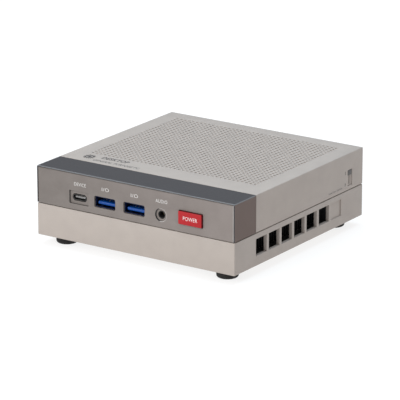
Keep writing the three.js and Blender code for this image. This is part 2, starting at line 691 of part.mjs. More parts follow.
// ---- Cooler under the board ---------------------------------------------------------------------------
function blowerOutline(inset) {
  const reach = FAN_REACH - inset;
  const outline = new THREE.Shape();
  outline.moveTo(FAN_OUTLET_X, FAN_Y - reach);
  outline.lineTo(FAN_OUTLET_X, FAN_Y + reach);
  outline.lineTo(FAN_X, FAN_Y + reach);
  outline.absarc(FAN_X, FAN_Y, reach, Math.PI / 2, 1.5 * Math.PI);
  return outline;
}

const SPINDLE = 1.5;
function fanHousing() {
  const shell = raised(blowerOutline(0), [FAN_BASE, FAN_TOP], 16);
  const inside = raised(blowerOutline(SHEET), [FAN_BASE + SHEET, FAN_TOP - SHEET], 16);
  const outlet = block([FAN_OUTLET_X - 1, FAN_OUTLET_X + 1],
    about(FAN_Y, 2 * (FAN_REACH - SHEET)), [FAN_BASE + SHEET, FAN_TOP - SHEET]);
  const inlet = post(INLET_RADIUS, FAN_X, FAN_Y, [FAN_BASE - 1, FAN_BASE + SHEET + 1], 40);
  const spindle = post(SPINDLE, FAN_X, FAN_Y, [FAN_BASE + 3.4, FAN_TOP - 0.5], 16);
  return without(shell, [inside, outlet, inlet]).add(spindle);
}

// One curved blade: a ring sector between two arcs about a shifted centre.
function fanBlade(angle, [z0, z1]) {
  const thick = 0.9;
  const bend = 26;
  const sweep = 0.72;
  const outline = new THREE.Shape();
  outline.absarc(0, -bend, bend + thick / 2, Math.PI / 2, Math.PI / 2 - sweep, true);
  outline.absarc(0, -bend, bend - thick / 2, Math.PI / 2 - sweep, Math.PI / 2, false);
  return raised(outline, [z0, z1], 5).translate([HUB_RADIUS - 1, 0, 0]).rotate([0, 0, angle]);
}

function fanRotor() {
  const heights = [FAN_BASE + SHEET + 0.8, FAN_TOP - SHEET - 0.8];
  const blades = 21;
  const parts = [post(HUB_RADIUS, 0, 0, heights, 36)];
  for (let i = 0; i < blades; i += 1) {
    parts.push(fanBlade((i * 360) / blades, [heights[0] + 0.8, heights[1] - 0.3]));
  }
  const bore = post(SPINDLE + 0.35, 0, 0, [FAN_BASE + 3, FAN_TOP], 16);
  const trim = post(ROTOR_RADIUS, 0, 0, [FAN_BASE, FAN_TOP], 48);
  return joined(parts).intersect(trim).subtract(bore).translate([FAN_X, FAN_Y, 0]);
}

// Thin upright fins under one top plate, side by side across the blower's outlet.
function finStack() {
  const x = [FAN_OUTLET_X + 0.5, FAN_OUTLET_X + 10.8];
  const half = FAN_REACH - 0.2;
  const pitch = 2.4;
  const count = Math.floor((2 * half) / pitch);
  const fins = [block(x, about(FAN_Y, 2 * half), [FAN_TOP - 0.8, FAN_TOP])];
  for (let i = 0; i <= count; i += 1) {
    fins.push(block(x, about(FAN_Y + (i - count / 2) * pitch, 0.6), [FAN_BASE, FAN_TOP - 0.4]));
  }
  return joined(fins);
}

function exhaustDuct() {
  const x = [54.8, INNER - GAP];
  const y = [VENT_START - 1.7, VENT_START + VENT_COUNT * VENT_PITCH - 0.3];
  const z = [FAN_BASE - 0.4, FAN_TOP + 1.2];
  const wall = 0.9;
  return block(x, y, z).subtract(block([x[0] - 1, x[1] + 1],
    [y[0] + wall, y[1] - wall], [z[0] + wall, z[1] - wall]));
}

function dustFilter() {
  return block([-INNER + GAP, -INNER + GAP + 0.6],
    [VENT_START - 1.5, VENT_START + VENT_COUNT * VENT_PITCH], from(VENT_BASE - 1.5, VENT_HEIGHT + 2.2));
}

const PIPE_BASE = FAN_TOP + GAP;
const PIPE_TOP = PIPE_BASE + 2.2;
function heatPipe(startY, endY) {
  const half = 3.6;
  const outline = new THREE.Shape();
  outline.moveTo(-16, startY - half);
  outline.lineTo(24, startY - half);
  outline.bezierCurveTo(34, startY - half, 34, endY - half, 44, endY - half);
  outline.lineTo(54, endY - half);
  outline.lineTo(54, endY + half);
  outline.lineTo(44, endY + half);
  outline.bezierCurveTo(34, endY + half, 34, startY + half, 24, startY + half);
  outline.lineTo(-16, startY + half);
  return raised(outline, [PIPE_BASE, PIPE_TOP], 8);
}

const PROCESSOR_Y = -7;
piece('processor', joined([
  block(about(4, 36), about(PROCESSOR_Y, 26), [UNDER_BOARD - 0.9, UNDER_BOARD]),
  block(about(4, 20), about(PROCESSOR_Y, 10), [UNDER_BOARD - 1.4, UNDER_BOARD - 0.8]),
]), chipBlack);
piece('cold_plate', block(about(4, 44), about(PROCESSOR_Y, 34),
  [PIPE_TOP + GAP, UNDER_BOARD - 1.4 - GAP]), copper);
piece('heat_pipe_front', heatPipe(PROCESSOR_Y - 9, -30), copper);
piece('heat_pipe_rear', heatPipe(PROCESSOR_Y + 9, 16), copper);
piece('fan_housing', fanHousing(), blackPlastic);
piece('fan_rotor', fanRotor(), blackPlastic);
piece('fin_stack', finStack(), darkMetal);
piece('exhaust_duct', exhaustDuct(), blackPlastic);
piece('dust_filter', dustFilter(), blackPlastic);

// The button stands out at the front only, so the footprint's middle lies half that far forward.
machine.position.set(0, BUTTON_PROUD / 2, FOOT_HEIGHT);
const part = new THREE.Group();
part.add(machine);

export default part;
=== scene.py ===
# The looks of a square desktop mini computer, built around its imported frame.
# Shapes are worked out in millimetres and brought to metres as each piece is finished.
import math
import random

import bmesh
import bpy
from mathutils import Matrix, Vector


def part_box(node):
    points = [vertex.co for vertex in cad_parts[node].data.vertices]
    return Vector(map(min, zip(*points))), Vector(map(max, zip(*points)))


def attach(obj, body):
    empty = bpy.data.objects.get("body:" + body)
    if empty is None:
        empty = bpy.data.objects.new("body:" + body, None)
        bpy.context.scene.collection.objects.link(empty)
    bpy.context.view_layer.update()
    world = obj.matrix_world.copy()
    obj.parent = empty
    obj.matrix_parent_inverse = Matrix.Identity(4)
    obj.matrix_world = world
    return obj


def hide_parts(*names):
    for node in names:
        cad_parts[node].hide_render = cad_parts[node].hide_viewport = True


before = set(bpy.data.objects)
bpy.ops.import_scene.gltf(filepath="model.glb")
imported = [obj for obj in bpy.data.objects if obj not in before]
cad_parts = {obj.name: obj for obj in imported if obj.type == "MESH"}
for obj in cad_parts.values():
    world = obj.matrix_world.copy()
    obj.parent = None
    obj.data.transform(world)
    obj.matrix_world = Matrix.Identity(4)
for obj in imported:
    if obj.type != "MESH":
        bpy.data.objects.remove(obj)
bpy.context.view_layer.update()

MM = 0.001
X, Y, Z = Vector((1, 0, 0)), Vector((0, 1, 0)), Vector((0, 0, 1))
SHARP = math.radians(40)


def node_box(name):
    """Lowest and highest corner of a CAD node, in millimetres."""
    low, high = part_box(name)
    return low / MM, high / MM


# ---- Where things are ------------------------------------
LOWER, UPPER = node_box("lower_shell"), node_box("upper_shell")
BEZEL, FASCIA = node_box("front_bezel"), node_box("front_fascia")
HALF = LOWER[1].x
FRONT, REAR = LOWER[0].y, LOWER[1].y
UNDERSIDE = LOWER[0].z
TOP = UPPER[1].z
MIDDLE_Y = (FRONT + REAR) / 2
WALL = 2
GAP = 0.3
SEAM_HEIGHT, SEAM_GAP = 18.2, 0.5
LOWER_TOP = UNDERSIDE + SEAM_HEIGHT - SEAM_GAP / 2
UPPER_BASE = LOWER_TOP + SEAM_GAP
RIM_LIP = 0.5  # the bezel's front rim round the fascia
BEZEL_BACK = BEZEL[1].y
COLLAR_BASE = UNDERSIDE + 16.1  # where the shells' inner collar starts, below the seam
PANEL = node_box("rear_panel")
WINDOW_BASE, WINDOW_TOP = UNDERSIDE + 19.9, UNDERSIDE + 36.5  # the rear panel's opening in the shell
SCREW_X, SCREW_Y = 52.4, 53.1  # screws and feet, from the middle of the case
CORNERS = [(f"{end}_{hand}", across * SCREW_X, MIDDLE_Y + along * SCREW_Y)
           for end, along in (("front", -1), ("rear", 1))
           for hand, across in (("left", -1), ("right", 1))]


# ---- Shader graphs ---------------------------------------
class Socket:
    """A node's output, which takes part in arithmetic."""

    def __init__(self, graph, output):
        self.graph, self.output = graph, output

    def math(self, operation, first, second):
        return self.graph.node("ShaderNodeMath", {"operation": operation}, {0: first, 1: second})

    def __add__(self, other):
        return self.math("ADD", self, other)

    def __mul__(self, other):
        return self.math("MULTIPLY", self, other)

    def __sub__(self, other):
        return self.math("SUBTRACT", self, other)

    def __rsub__(self, other):
        return self.math("SUBTRACT", other, self)

    __radd__, __rmul__ = __add__, __mul__


class Graph:
    """The node tree of one material, with its surface shader."""

    def __init__(self, name):
        self.material = bpy.data.materials.new(name)
        self.material.use_nodes = True
        self.tree = self.material.node_tree
        self.shader = self.tree.nodes["Principled BSDF"]
        self.place = self.node("ShaderNodeTexCoord", {}, {}, "Object")

    def node(self, kind, settings, inputs, output=0):
        made = self.tree.nodes.new(kind)
        for name, value in settings.items():
            setattr(made, name, value)
        for name, value in inputs.items():
            self.feed(made.inputs[name], value)
        return Socket(self, made.outputs[output])

    def feed(self, socket, value):
        if isinstance(value, Socket):
            self.tree.links.new(value.output, socket)
        else:
            socket.default_value = value

    def noise(self, size, detail=2, roughness=0.5, stretch=(1, 1, 1)):
        """Noise whose features are about this many millimetres across."""
        place = self.node("ShaderNodeMapping", {}, {"Vector": self.place, "Scale": stretch})
        return self.node("ShaderNodeTexNoise", {}, {
            "Vector": place, "Scale": 1 / (size * MM), "Detail": detail, "Roughness": roughness})

    def blend(self, amount, first, second):
        return self.node("ShaderNodeMix", {"data_type": "RGBA"}, {
            0: amount, 6: (*first, 1) if isinstance(first, tuple) else first,
            7: (*second, 1) if isinstance(second, tuple) else second}, 2)

    def contrast(self, value, low, high):
        """The value stretched so that low becomes 0 and high becomes 1."""
        return self.node("ShaderNodeMapRange", {}, {
            "Value": value, "From Min": low, "From Max": high})

    def bump(self, height, depth):
        """A normal from a height of 0 to 1, this many millimetres deep."""
        return self.node("ShaderNodeBump", {}, {"Height": height, "Distance": depth * MM}, "Normal")

    def finish(self, **inputs):
        for name, value in inputs.items():
            self.feed(self.shader.inputs[name.replace("_", " ")], value)
        return self.material


def tinted(colour, factor):
    return tuple(min(1, c * factor) for c in colour)


def moulded(name, colour, roughness, grain=0.35, depth=0.012, mottle=0.05, specular=0.5):
    """Injection-moulded plastic: spark-eroded grain, a faint cloudiness and a few paler specks."""
    g = Graph(name)
    clouds = g.contrast(g.noise(9, 3), 0.35, 0.65)
    texture = g.noise(grain, 3, 0.6)
    specks = g.contrast(g.noise(grain * 1.7, 1), 0.62, 0.8)
    base = g.blend(clouds, tinted(colour, 1 - mottle / 2), tinted(colour, 1 + mottle / 2))
    base = g.blend(specks * 0.12, base, tinted(colour, 1.25))
    return g.finish(Base_Color=base, Roughness=roughness + (texture - 0.5) * 0.18,
                    Specular_IOR_Level=specular, Normal=g.bump(texture, depth))


def painted_reflection_gradient(name, left, right, roughness):
    """Moulded plastic with a painted reflection: its colour grows a little lighter from the left end of the
    piece to the right.
    """
    g = Graph(name)
    across = g.node("ShaderNodeSeparateXYZ", {}, {"Vector": g.place}, "X")
    along = g.contrast(across, -HALF * MM, HALF * MM)
    clouds = g.contrast(g.noise(9, 3), 0.35, 0.65)
    texture = g.noise(0.45, 3, 0.6)
    # painted reflection: the base colour runs from the darker left colour to the lighter right one across
    # the piece
    base = g.blend(along, left, right)
    base = g.blend(clouds * 0.05, base, (0.5, 0.46, 0.44))
    return g.finish(Base_Color=base, Roughness=roughness + (texture - 0.5) * 0.18,
                    Specular_IOR_Level=0.35, Normal=g.bump(texture, 0.03))


def plated(name, colour, roughness, brushing=(1, 1, 12), depth=0.004):
    """Rolled or plated metal: fine drawn lines, faint tarnish."""
    g = Graph(name)
    lines = g.noise(0.25, 2, 0.5, brushing)
    tarnish = g.contrast(g.noise(2.5, 3), 0.45, 0.75)
    base = g.blend(tarnish * 0.35, colour, tinted(colour, 0.72))
    return g.finish(Base_Color=base, Metallic=1.0, Roughness=roughness + lines * 0.14 + tarnish * 0.08,
                    Normal=g.bump(lines, depth))


def rubbery(name, colour):
    g = Graph(name)
    pores = g.noise(0.5, 4, 0.7)
    dust = g.contrast(g.noise(3, 3), 0.5, 0.75)
    base = g.blend(dust * 0.2, colour, (0.05, 0.047, 0.043))
    return g.finish(Base_Color=base, Roughness=0.72 + (pores - 0.5) * 0.3, Specular_IOR_Level=0.35,
                    Normal=g.bump(pores, 0.03))


def solder_mask(name, colour):
    """A circuit board: glossy mask over raised copper traces that run both ways."""
    g = Graph(name)
    across = g.contrast(g.noise(1.3, 0, 0.5, (1, 0.06, 1)), 0.5, 0.54)
    along = g.contrast(g.noise(1.3, 0, 0.5, (0.06, 1, 1)), 0.5, 0.54)
    traces = g.node("ShaderNodeMath", {"operation": "MAXIMUM"}, {0: across, 1: along})
    weave = g.noise(0.6, 1)
    base = g.blend(traces, colour, tinted(colour, 2.1))
    return g.finish(Base_Color=base, Roughness=0.33 + weave * 0.16, Specular_IOR_Level=0.5,
                    Normal=g.bump(traces * 0.8 + weave * 0.2, 0.03))


def knitted(name, colour):
    """A fine woven screen, with dark open cells between its threads."""
    g = Graph(name)
    cells = g.node("ShaderNodeTexVoronoi", {"distance": "CHEBYCHEV"}, {
        "Vector": g.place, "Scale": 1 / (0.9 * MM), "Randomness": 0.0})
    threads = g.contrast(cells, 0.22, 0.34)
    base = g.blend(threads, tinted(colour, 0.15), colour)
    return g.finish(Base_Color=base, Roughness=0.7 - threads * 0.15, Normal=g.bump(threads, 0.2))


def printed(name, colour):
    """Pad-printed ink, a little uneven where it sits on the grain below."""
    g = Graph(name)
    grain = g.noise(0.3, 2)
    base = g.blend(g.contrast(grain, 0.3, 0.7), tinted(colour, 0.93), colour)
    return g.finish(Base_Color=base, Roughness=0.5 + (grain - 0.5) * 0.2, Normal=g.bump(grain, 0.004))


def pale_floor(name):
    g = Graph(name)
    haze = g.noise(60, 3)
    base = g.blend(haze, (0.2, 0.2, 0.2), (0.22, 0.22, 0.22))
    return g.finish(Base_Color=base, Roughness=0.8 + (haze - 0.5) * 0.1, Specular_IOR_Level=0.2,
                    Emission_Color=(1, 1, 1, 1), Emission_Strength=0.8)


SHELL = moulded("warm_grey_shell", (0.37, 0.33, 0.301), 0.58, grain=0.45, depth=0.035, specular=0.35)
SLATE = moulded("slate_bezel", (0.0325, 0.0332, 0.038), 0.5, grain=0.45, depth=0.03, specular=0.35)
SLATE_SIDE = moulded("slate_bezel_side", (0.115, 0.0795, 0.067), 0.5, specular=0.35)
# painted highlight: a lighter colour for the bezel's chamfers, standing in for the light they catch
BEZEL_PAINTED_HIGHLIGHT = moulded("bezel_edge_painted_highlight", (0.14, 0.143, 0.15), 0.4, grain=0.2, depth=0.004, specular=0.5)
# painted reflection: the fascia lightens from its left end to its right
STONE_PAINTED_REFLECTION = painted_reflection_gradient("stone_fascia_painted_reflection", (0.149, 0.132, 0.1215), (0.198, 0.172, 0.16), 0.5)
# painted highlight: a pale colour for the fascia's bevelled right edge and part of the audio dish's rim
FASCIA_PAINTED_HIGHLIGHT = moulded("fascia_edge_painted_highlight", (0.42, 0.4, 0.385), 0.4, grain=0.2, depth=0.004)
RED = moulded("red_key", (0.36, 0.014, 0.018), 0.42, grain=0.3, depth=0.005, mottle=0.06, specular=0.2)
# painted shade: a darker copy of the key's red for its sides
RED_PAINTED_SHADE = moulded("red_key_side_painted_shade", (0.11, 0.007, 0.009), 0.5, grain=0.3, depth=0.005, specular=0.2)
BLACK = moulded("black_plastic", (0.014, 0.014, 0.015), 0.5, mottle=0.2)
GRAPHITE = moulded("graphite_slider", (0.1, 0.095, 0.092), 0.45, grain=0.2, mottle=0.1)
BLUE = moulded("blue_plastic", (0.004, 0.058, 0.27), 0.3, grain=0.25, depth=0.004, specular=0.35)
RUBBER = rubbery("black_rubber", (0.007, 0.0065, 0.006))
STEEL = plated("plated_steel", (0.62, 0.62, 0.61), 0.26)
# painted shade: a dark navy copy of the mouths' steel, standing in for the shade inside the front sockets
NAVY_STEEL_PAINTED_SHADE = plated("navy_steel_painted_shade", (0.026, 0.036, 0.08), 0.32)
# painted shade: a darkened copy of the steel for the oval socket's mouth and guard
SHADED_STEEL = plated("grey_steel_painted_shade", (0.09, 0.09, 0.09), 0.36)
GOLD = plated("gold_contact", (0.83, 0.6, 0.26), 0.22)
COPPER = plated("bare_copper", (0.75, 0.36, 0.22), 0.28)
GREEN = solder_mask("green_board", (0.008, 0.06, 0.028))
EPOXY = moulded("chip_epoxy", (0.02, 0.02, 0.022), 0.55, grain=0.2, mottle=0.15)
COATED = moulded("dark_coated_metal", (0.016, 0.016, 0.018), 0.5, grain=0.3, mottle=0.15, specular=0.25)
PEARL = moulded("pearl_tongue", (0.36, 0.36, 0.36), 0.35, grain=0.2, depth=0.003)
SCREEN = knitted("dust_screen", (0.03, 0.03, 0.03))
WHITE_INK = printed("white_ink", (0.86, 0.86, 0.85))
LABEL_INK = printed("label_ink", (0.66, 0.65, 0.64))
GREY_INK = printed("grey_ink", (0.028, 0.028, 0.031))
PALE_INK = printed("pale_grey_ink", (0.075, 0.074, 0.074))


# ---- Shapes ----------------------------------------------
def add_box(bm, low, high):
    low, high = Vector(low), Vector(high)
    matrix = Matrix.Translation((low + high) / 2) @ Matrix.Diagonal((*(high - low), 1))
    bmesh.ops.create_cube(bm, size=1, matrix=matrix)


def boxed(low, high):
    bm = bmesh.new()
    add_box(bm, low, high)
    return bm


def bar(radius, start, end, segments=32):
    """A round bar from one point to another."""
    bm = bmesh.new()
    start, end = Vector(start), Vector(end)
    turn = (end - start).to_track_quat("Z", "Y").to_matrix().to_4x4()
    bmesh.ops.create_cone(
        bm, cap_ends=True, segments=segments, radius1=radius, radius2=radius,
        depth=(end - start).length, matrix=Matrix.Translation((start + end) / 2) @ turn)
    return bm


def edges_along(bm, axis):
    return [e for e in bm.edges
            if abs((e.verts[1].co - e.verts[0].co).normalized().dot(axis)) > 0.999]


def soften(bm, edges, width, segments=2):
    bmesh.ops.bevel(bm, geom=list(edges), offset=width, offset_type="OFFSET", segments=segments,
                    profile=0.5, affect="EDGES", material=-1, clamp_overlap=True)


def sharp_edges(bm, keep=lambda edge: True):
    return [e for e in bm.edges if e.is_manifold and e.calc_face_angle(0) > SHARP and keep(e)]


def soften_end(bm, y, width, side=-1, segments=2):
    """Softens the rim of the face that ends a solid at y: its front face, or with side 1 its rear one."""
    rim = sharp_edges(bm, lambda e: all((v.co.y - y) * side > -0.01 for v in e.verts))
    soften(bm, rim, width, segments)


def soft_box(low, high, width, segments=2):
    """A box with every edge softened."""
    bm = boxed(low, high)
    soften(bm, bm.edges, width, segments)
    return bm


def chip(low, high, width=0.12):
    """A moulded chip: a box whose upper edges are softened."""
    bm = boxed(low, high)
    soften(bm, [e for e in bm.edges if all(v.co.z > high[2] - 0.01 for v in e.verts)], width)
    return bm


def pilled(middle, y, width, height, depth, radius, segments):
    """A plate that faces the front, with round corners, about a middle in x and z. Its front is at y."""
    x, z = middle
    bm = boxed((x - width / 2, y, z - height / 2), (x + width / 2, y + depth, z + height / 2))
    soften(bm, edges_along(bm, Y), radius * 0.999, segments)
    return bm


def as_object(name, bm):
    mesh = bpy.data.meshes.new(name)
    bm.to_mesh(mesh)
    made = bpy.data.objects.new(name, mesh)
    bpy.context.scene.collection.objects.link(made)
    return made


def boolean(first, second, operation):
    """One solid joined with or cut by another. Both are used up."""
    target, tool = as_object("target", first), as_object("tool", second)
    modifier = target.modifiers.new("boolean", "BOOLEAN")
    modifier.operation, modifier.solver, modifier.object = operation, "EXACT", tool
    modifier.use_self = True
    bpy.context.view_layer.update()
    evaluated = target.evaluated_get(bpy.context.evaluated_depsgraph_get())
    result = bmesh.new()
    result.from_mesh(evaluated.to_mesh())
    for made, bm in ((target, first), (tool, second)):
        mesh = made.data
        bpy.data.objects.remove(made)
        bpy.data.meshes.remove(mesh)
        bm.free()
    bmesh.ops.dissolve_degenerate(result, dist=0.0001, edges=result.edges[:])
    bmesh.ops.dissolve_limit(
        result, angle_limit=math.radians(0.5), verts=result.verts[:], edges=result.edges[:])
    return result


def merge(bm, *others):
    """Adds other solids as loose shells of the same piece."""
    for other in others:
        mesh = bpy.data.meshes.new("shell")
        other.to_mesh(mesh)
        other.free()
        bm.from_mesh(mesh)
        bpy.data.meshes.remove(mesh)
    return bm


def cut(solid, *cutters):
    return boolean(solid, merge(bmesh.new(), *cutters), "DIFFERENCE")


def piece(name, bm, material, body="case", replaces=(), smooth=True):
    """Finishes a piece: millimetres to metres, shading, material and body; hides the nodes it replaces."""
    bmesh.ops.scale(bm, vec=(MM,) * 3, verts=bm.verts[:])
    for face in bm.faces:
        face.smooth = smooth
    for edge in bm.edges:
        edge.smooth = edge.is_manifold and edge.calc_face_angle(0) < SHARP
    made = as_object(name, bm)
    bm.free()
    for one in material if isinstance(material, (list, tuple)) else [material]:
        made.data.materials.append(one)
    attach(made, body)
    if replaces:
        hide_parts(*replaces)
    return made


# ---- Case ------------------------------------------------
HOLE_PITCH = 2.713
HOLE_RADIUS = 0.75
HOLE_COLUMNS, HOLE_ROWS = 40, 31
GRILLE_BACK = REAR - 10.15  # the middle of the last row


def grille_cell(x, y):
    """One square of the perforated top, with its hole: softened rim, wall and underside."""
    bm = bmesh.new()
    half = HOLE_PITCH / 2
    rings = []
    for radius, z in ((None, 0), (HOLE_RADIUS + 0.1, 0), (HOLE_RADIUS, -0.1),
                      (HOLE_RADIUS, -WALL), (None, -WALL)):
        verts = bmesh.ops.create_circle(bm, segments=12, radius=radius or half)["verts"]
        bmesh.ops.rotate(bm, verts=verts, matrix=Matrix.Rotation(math.radians(15), 3, "Z"))
        if radius is None:
            for vert in verts:
                vert.co *= half / max(abs(vert.co.x), abs(vert.co.y))
        bmesh.ops.translate(bm, vec=(x, y, z), verts=verts)
        rings.append([e for e in bm.edges if all(v in verts for v in e.verts)])
    for first, second in zip(rings, rings[1:]):
        bmesh.ops.bridge_loops(bm, edges=first + second)
    return bm


def repeated(bm, count, step):
    """Copies everything in the mesh in a row."""
    source = bm.verts[:] + bm.edges[:] + bm.faces[:]
    for i in range(1, count):
        copy = bmesh.ops.duplicate(bm, geom=source)["geom"]
        verts = [g for g in copy if isinstance(g, bmesh.types.BMVert)]
        bmesh.ops.translate(bm, vec=Vector(step) * i, verts=verts)
    bmesh.ops.remove_doubles(bm, verts=bm.verts[:], dist=0.001)


def grille_panel():
    left = -(HOLE_COLUMNS - 1) / 2 * HOLE_PITCH
    front = GRILLE_BACK - (HOLE_ROWS - 1) * HOLE_PITCH
    bm = grille_cell(left, front)
    repeated(bm, HOLE_COLUMNS, (HOLE_PITCH, 0, 0))
    repeated(bm, HOLE_ROWS, (0, HOLE_PITCH, 0))
    bmesh.ops.translate(bm, vec=(0, 0, TOP), verts=bm.verts[:])
    rim = [e for e in bm.edges if e.is_boundary]
    bmesh.ops.bridge_loops(bm, edges=rim)
    bmesh.ops.recalc_face_normals(bm, faces=bm.faces[:])
    return bm


def grille_limits():
    half = HOLE_COLUMNS / 2 * HOLE_PITCH
    return (-half, GRILLE_BACK - (HOLE_ROWS - 0.5) * HOLE_PITCH), (half, GRILLE_BACK + HOLE_PITCH / 2)


SWITCH = node_box("slide_knob")
SWITCH_Y = (SWITCH[0].y + SWITCH[1].y) / 2
SLOT_BASE, SLOT_TOP, SLOT_WIDTH = UNDERSIDE + 20.6, UNDERSIDE + 29.7, 4.7
TRACK_WIDTH, TRACK_INSET = 0.9, 0.9  # the through cut in the slot's floor
BORE = 1.8  # the radius of the screws' holes


def on_outside(edge):
    """True for an edge that lies in the skin of the sides or the rear."""
    return all(max(abs(v.co.x) - HALF, v.co.y - REAR) > -0.45 for v in edge.verts)


def top_cover():
    """The hood: walls, perforated panel, openings, the collar behind the fascia and screw pillars."""
    front = BEZEL_BACK + GAP
    hood = boxed((-HALF, front, UPPER_BASE), (HALF, REAR, TOP))
    outer = [e for e in edges_along(hood, Y) if e.verts[0].co.z > TOP - 0.1]
    outer += [e for e in hood.edges if min(v.co.y for v in e.verts) > REAR - 0.1
              and max(v.co.z for v in e.verts) > TOP - 0.1]
    soften(hood, outer, 0.4, 3)
    inside = boxed((-HALF + WALL, front + WALL, UPPER_BASE - 1), (HALF - WALL, REAR - WALL, TOP - WALL))
    (left, near), (right, far) = grille_limits()
    slack = 0.01
    grille = boxed((left - slack, near - slack, TOP - WALL - 1), (right + slack, far + slack, TOP + 1))
    slot = boxed((HALF - 0.6, SWITCH_Y - SLOT_WIDTH / 2, SLOT_BASE),
                 (HALF + 1, SWITCH_Y + SLOT_WIDTH / 2, SLOT_TOP))
    track = boxed((HALF - 3, SWITCH_Y - TRACK_WIDTH / 2, SLOT_BASE + TRACK_INSET),
                  (HALF, SWITCH_Y + TRACK_WIDTH / 2, SLOT_TOP - TRACK_INSET))
    window = boxed((PANEL[0].x + 1, REAR - 3, WINDOW_BASE), (PANEL[1].x - 1, REAR + 1, WINDOW_TOP))
    hood = cut(hood, inside, grille, slot, track, window)
    soften(hood, sharp_edges(hood, on_outside), 0.15)
    half, wall = HALF - 2.3, 1.7
    collar = cut(boxed((-half, FRONT + 2.5, COLLAR_BASE), (half, front + 0.5, TOP - 1.9)),
                 boxed((wall - half, FRONT + 1, COLLAR_BASE - 1), (half - wall, front + 3, TOP - 3.6)))
    pillars = [cut(bar(3.2, (x, y, UNDERSIDE + 22.3), (x, y, TOP - 2.5), 24),
                   bar(BORE, (x, y, UNDERSIDE + 20), (x, y, UNDERSIDE + 33.2), 24)) for _, x, y in CORNERS]
    merge(hood, grille_panel(), collar, *pillars)
    piece("top_cover", hood, SHELL, replaces=["upper_shell"])


VENT_COUNT, VENT_PITCH, VENT_WIDTH, VENT_HEIGHT = 6, 12.45, 10.4, 9.4  # a blank one follows them
VENT_START = MIDDLE_Y - 43.5
VENT_BASE = UNDERSIDE + 5.5
FAN = node_box("fan_rotor")
FAN_MIDDLE = (FAN[0] + FAN[1]) / 2
INTAKE_ROWS, INTAKE_PITCH, INTAKE_LENGTH, INTAKE_WIDTH, INTAKE_SPACING = 11, 4, 21, 2, 24
SLIT_COUNT, SLIT_PITCH, SLIT_WIDTH = 14, 6, 2.6


def lower_case_openings():
    """Cutters for the side windows, the intake under the blower and the slits at the rear."""
    cutters = []
    for side in (-1, 1):
        for i in range(VENT_COUNT + 1):
            depth = WALL + 1 if i < VENT_COUNT else 0.7
            y = VENT_START + i * VENT_PITCH
            low, high = sorted((side * (HALF - depth), side * (HALF + 1)))
            cutters.append(boxed((low, y, VENT_BASE), (high, y + VENT_WIDTH, VENT_BASE + VENT_HEIGHT)))
    for side in (-1, 1):
        for row in range(INTAKE_ROWS):
            x = FAN_MIDDLE.x + side * INTAKE_SPACING / 2
            y = FAN_MIDDLE.y + (row - (INTAKE_ROWS - 1) / 2) * INTAKE_PITCH
            cutters.append(boxed((x - INTAKE_LENGTH / 2, y - INTAKE_WIDTH / 2, UNDERSIDE - 1),
                                 (x + INTAKE_LENGTH / 2, y + INTAKE_WIDTH / 2, UNDERSIDE + WALL + 1)))
    for i in range(SLIT_COUNT):
        x = (i - (SLIT_COUNT - 1) / 2) * SLIT_PITCH
        cutters.append(boxed((x - SLIT_WIDTH / 2, REAR - 3, VENT_BASE),
                             (x + SLIT_WIDTH / 2, REAR + 1, VENT_BASE + VENT_HEIGHT)))
    return cutters


def lower_case():
    """The tray: walls, openings, foot recesses, screw bosses and the lip that centres the hood."""
    tray = boxed((-HALF, FRONT, UNDERSIDE), (HALF, REAR, LOWER_TOP))
    bottom = [e for e in tray.edges if all(v.co.z < UNDERSIDE + 0.1 for v in e.verts)]
    soften(tray, edges_along(tray, Z) + bottom, 0.4, 3)
    inside = boxed((-HALF + WALL, FRONT + WALL, UNDERSIDE + WALL), (HALF - WALL, REAR - WALL, TOP))
    recesses = [bar(6.3, (x, y, UNDERSIDE - 1), (x, y, UNDERSIDE + 1), 40) for _, x, y in CORNERS]
    tray = cut(tray, inside, *lower_case_openings(), *recesses)
    rims = sharp_edges(tray, lambda e: on_outside(e) or all(v.co.z < UNDERSIDE + 0.01 for v in e.verts)
                       or all(v.co.z > LOWER_TOP - 0.01 for v in e.verts))
    soften(tray, rims, 0.18)
    bosses = [cut(bar(4.6, (x, y, UNDERSIDE + 1.5), (x, y, UNDERSIDE + 20.1), 32),
                  bar(BORE, (x, y, UNDERSIDE), (x, y, UNDERSIDE + 21), 24),
                  bar(3.3, (x, y, UNDERSIDE), (x, y, UNDERSIDE + 5), 24)) for _, x, y in CORNERS]
    half, front, back, wall = HALF - WALL - GAP, BEZEL_BACK + GAP + WALL + GAP, REAR - WALL - GAP, 1.1
    lip = cut(boxed((-half, front, LOWER_TOP - 2.2), (half, back, UNDERSIDE + 19.8)),
              boxed((wall - half, front - 1, LOWER_TOP - 4), (half - wall, back - wall, TOP)))
    merge(tray, lip, *bosses)
    piece("lower_case", tray, SHELL, replaces=["lower_shell"])


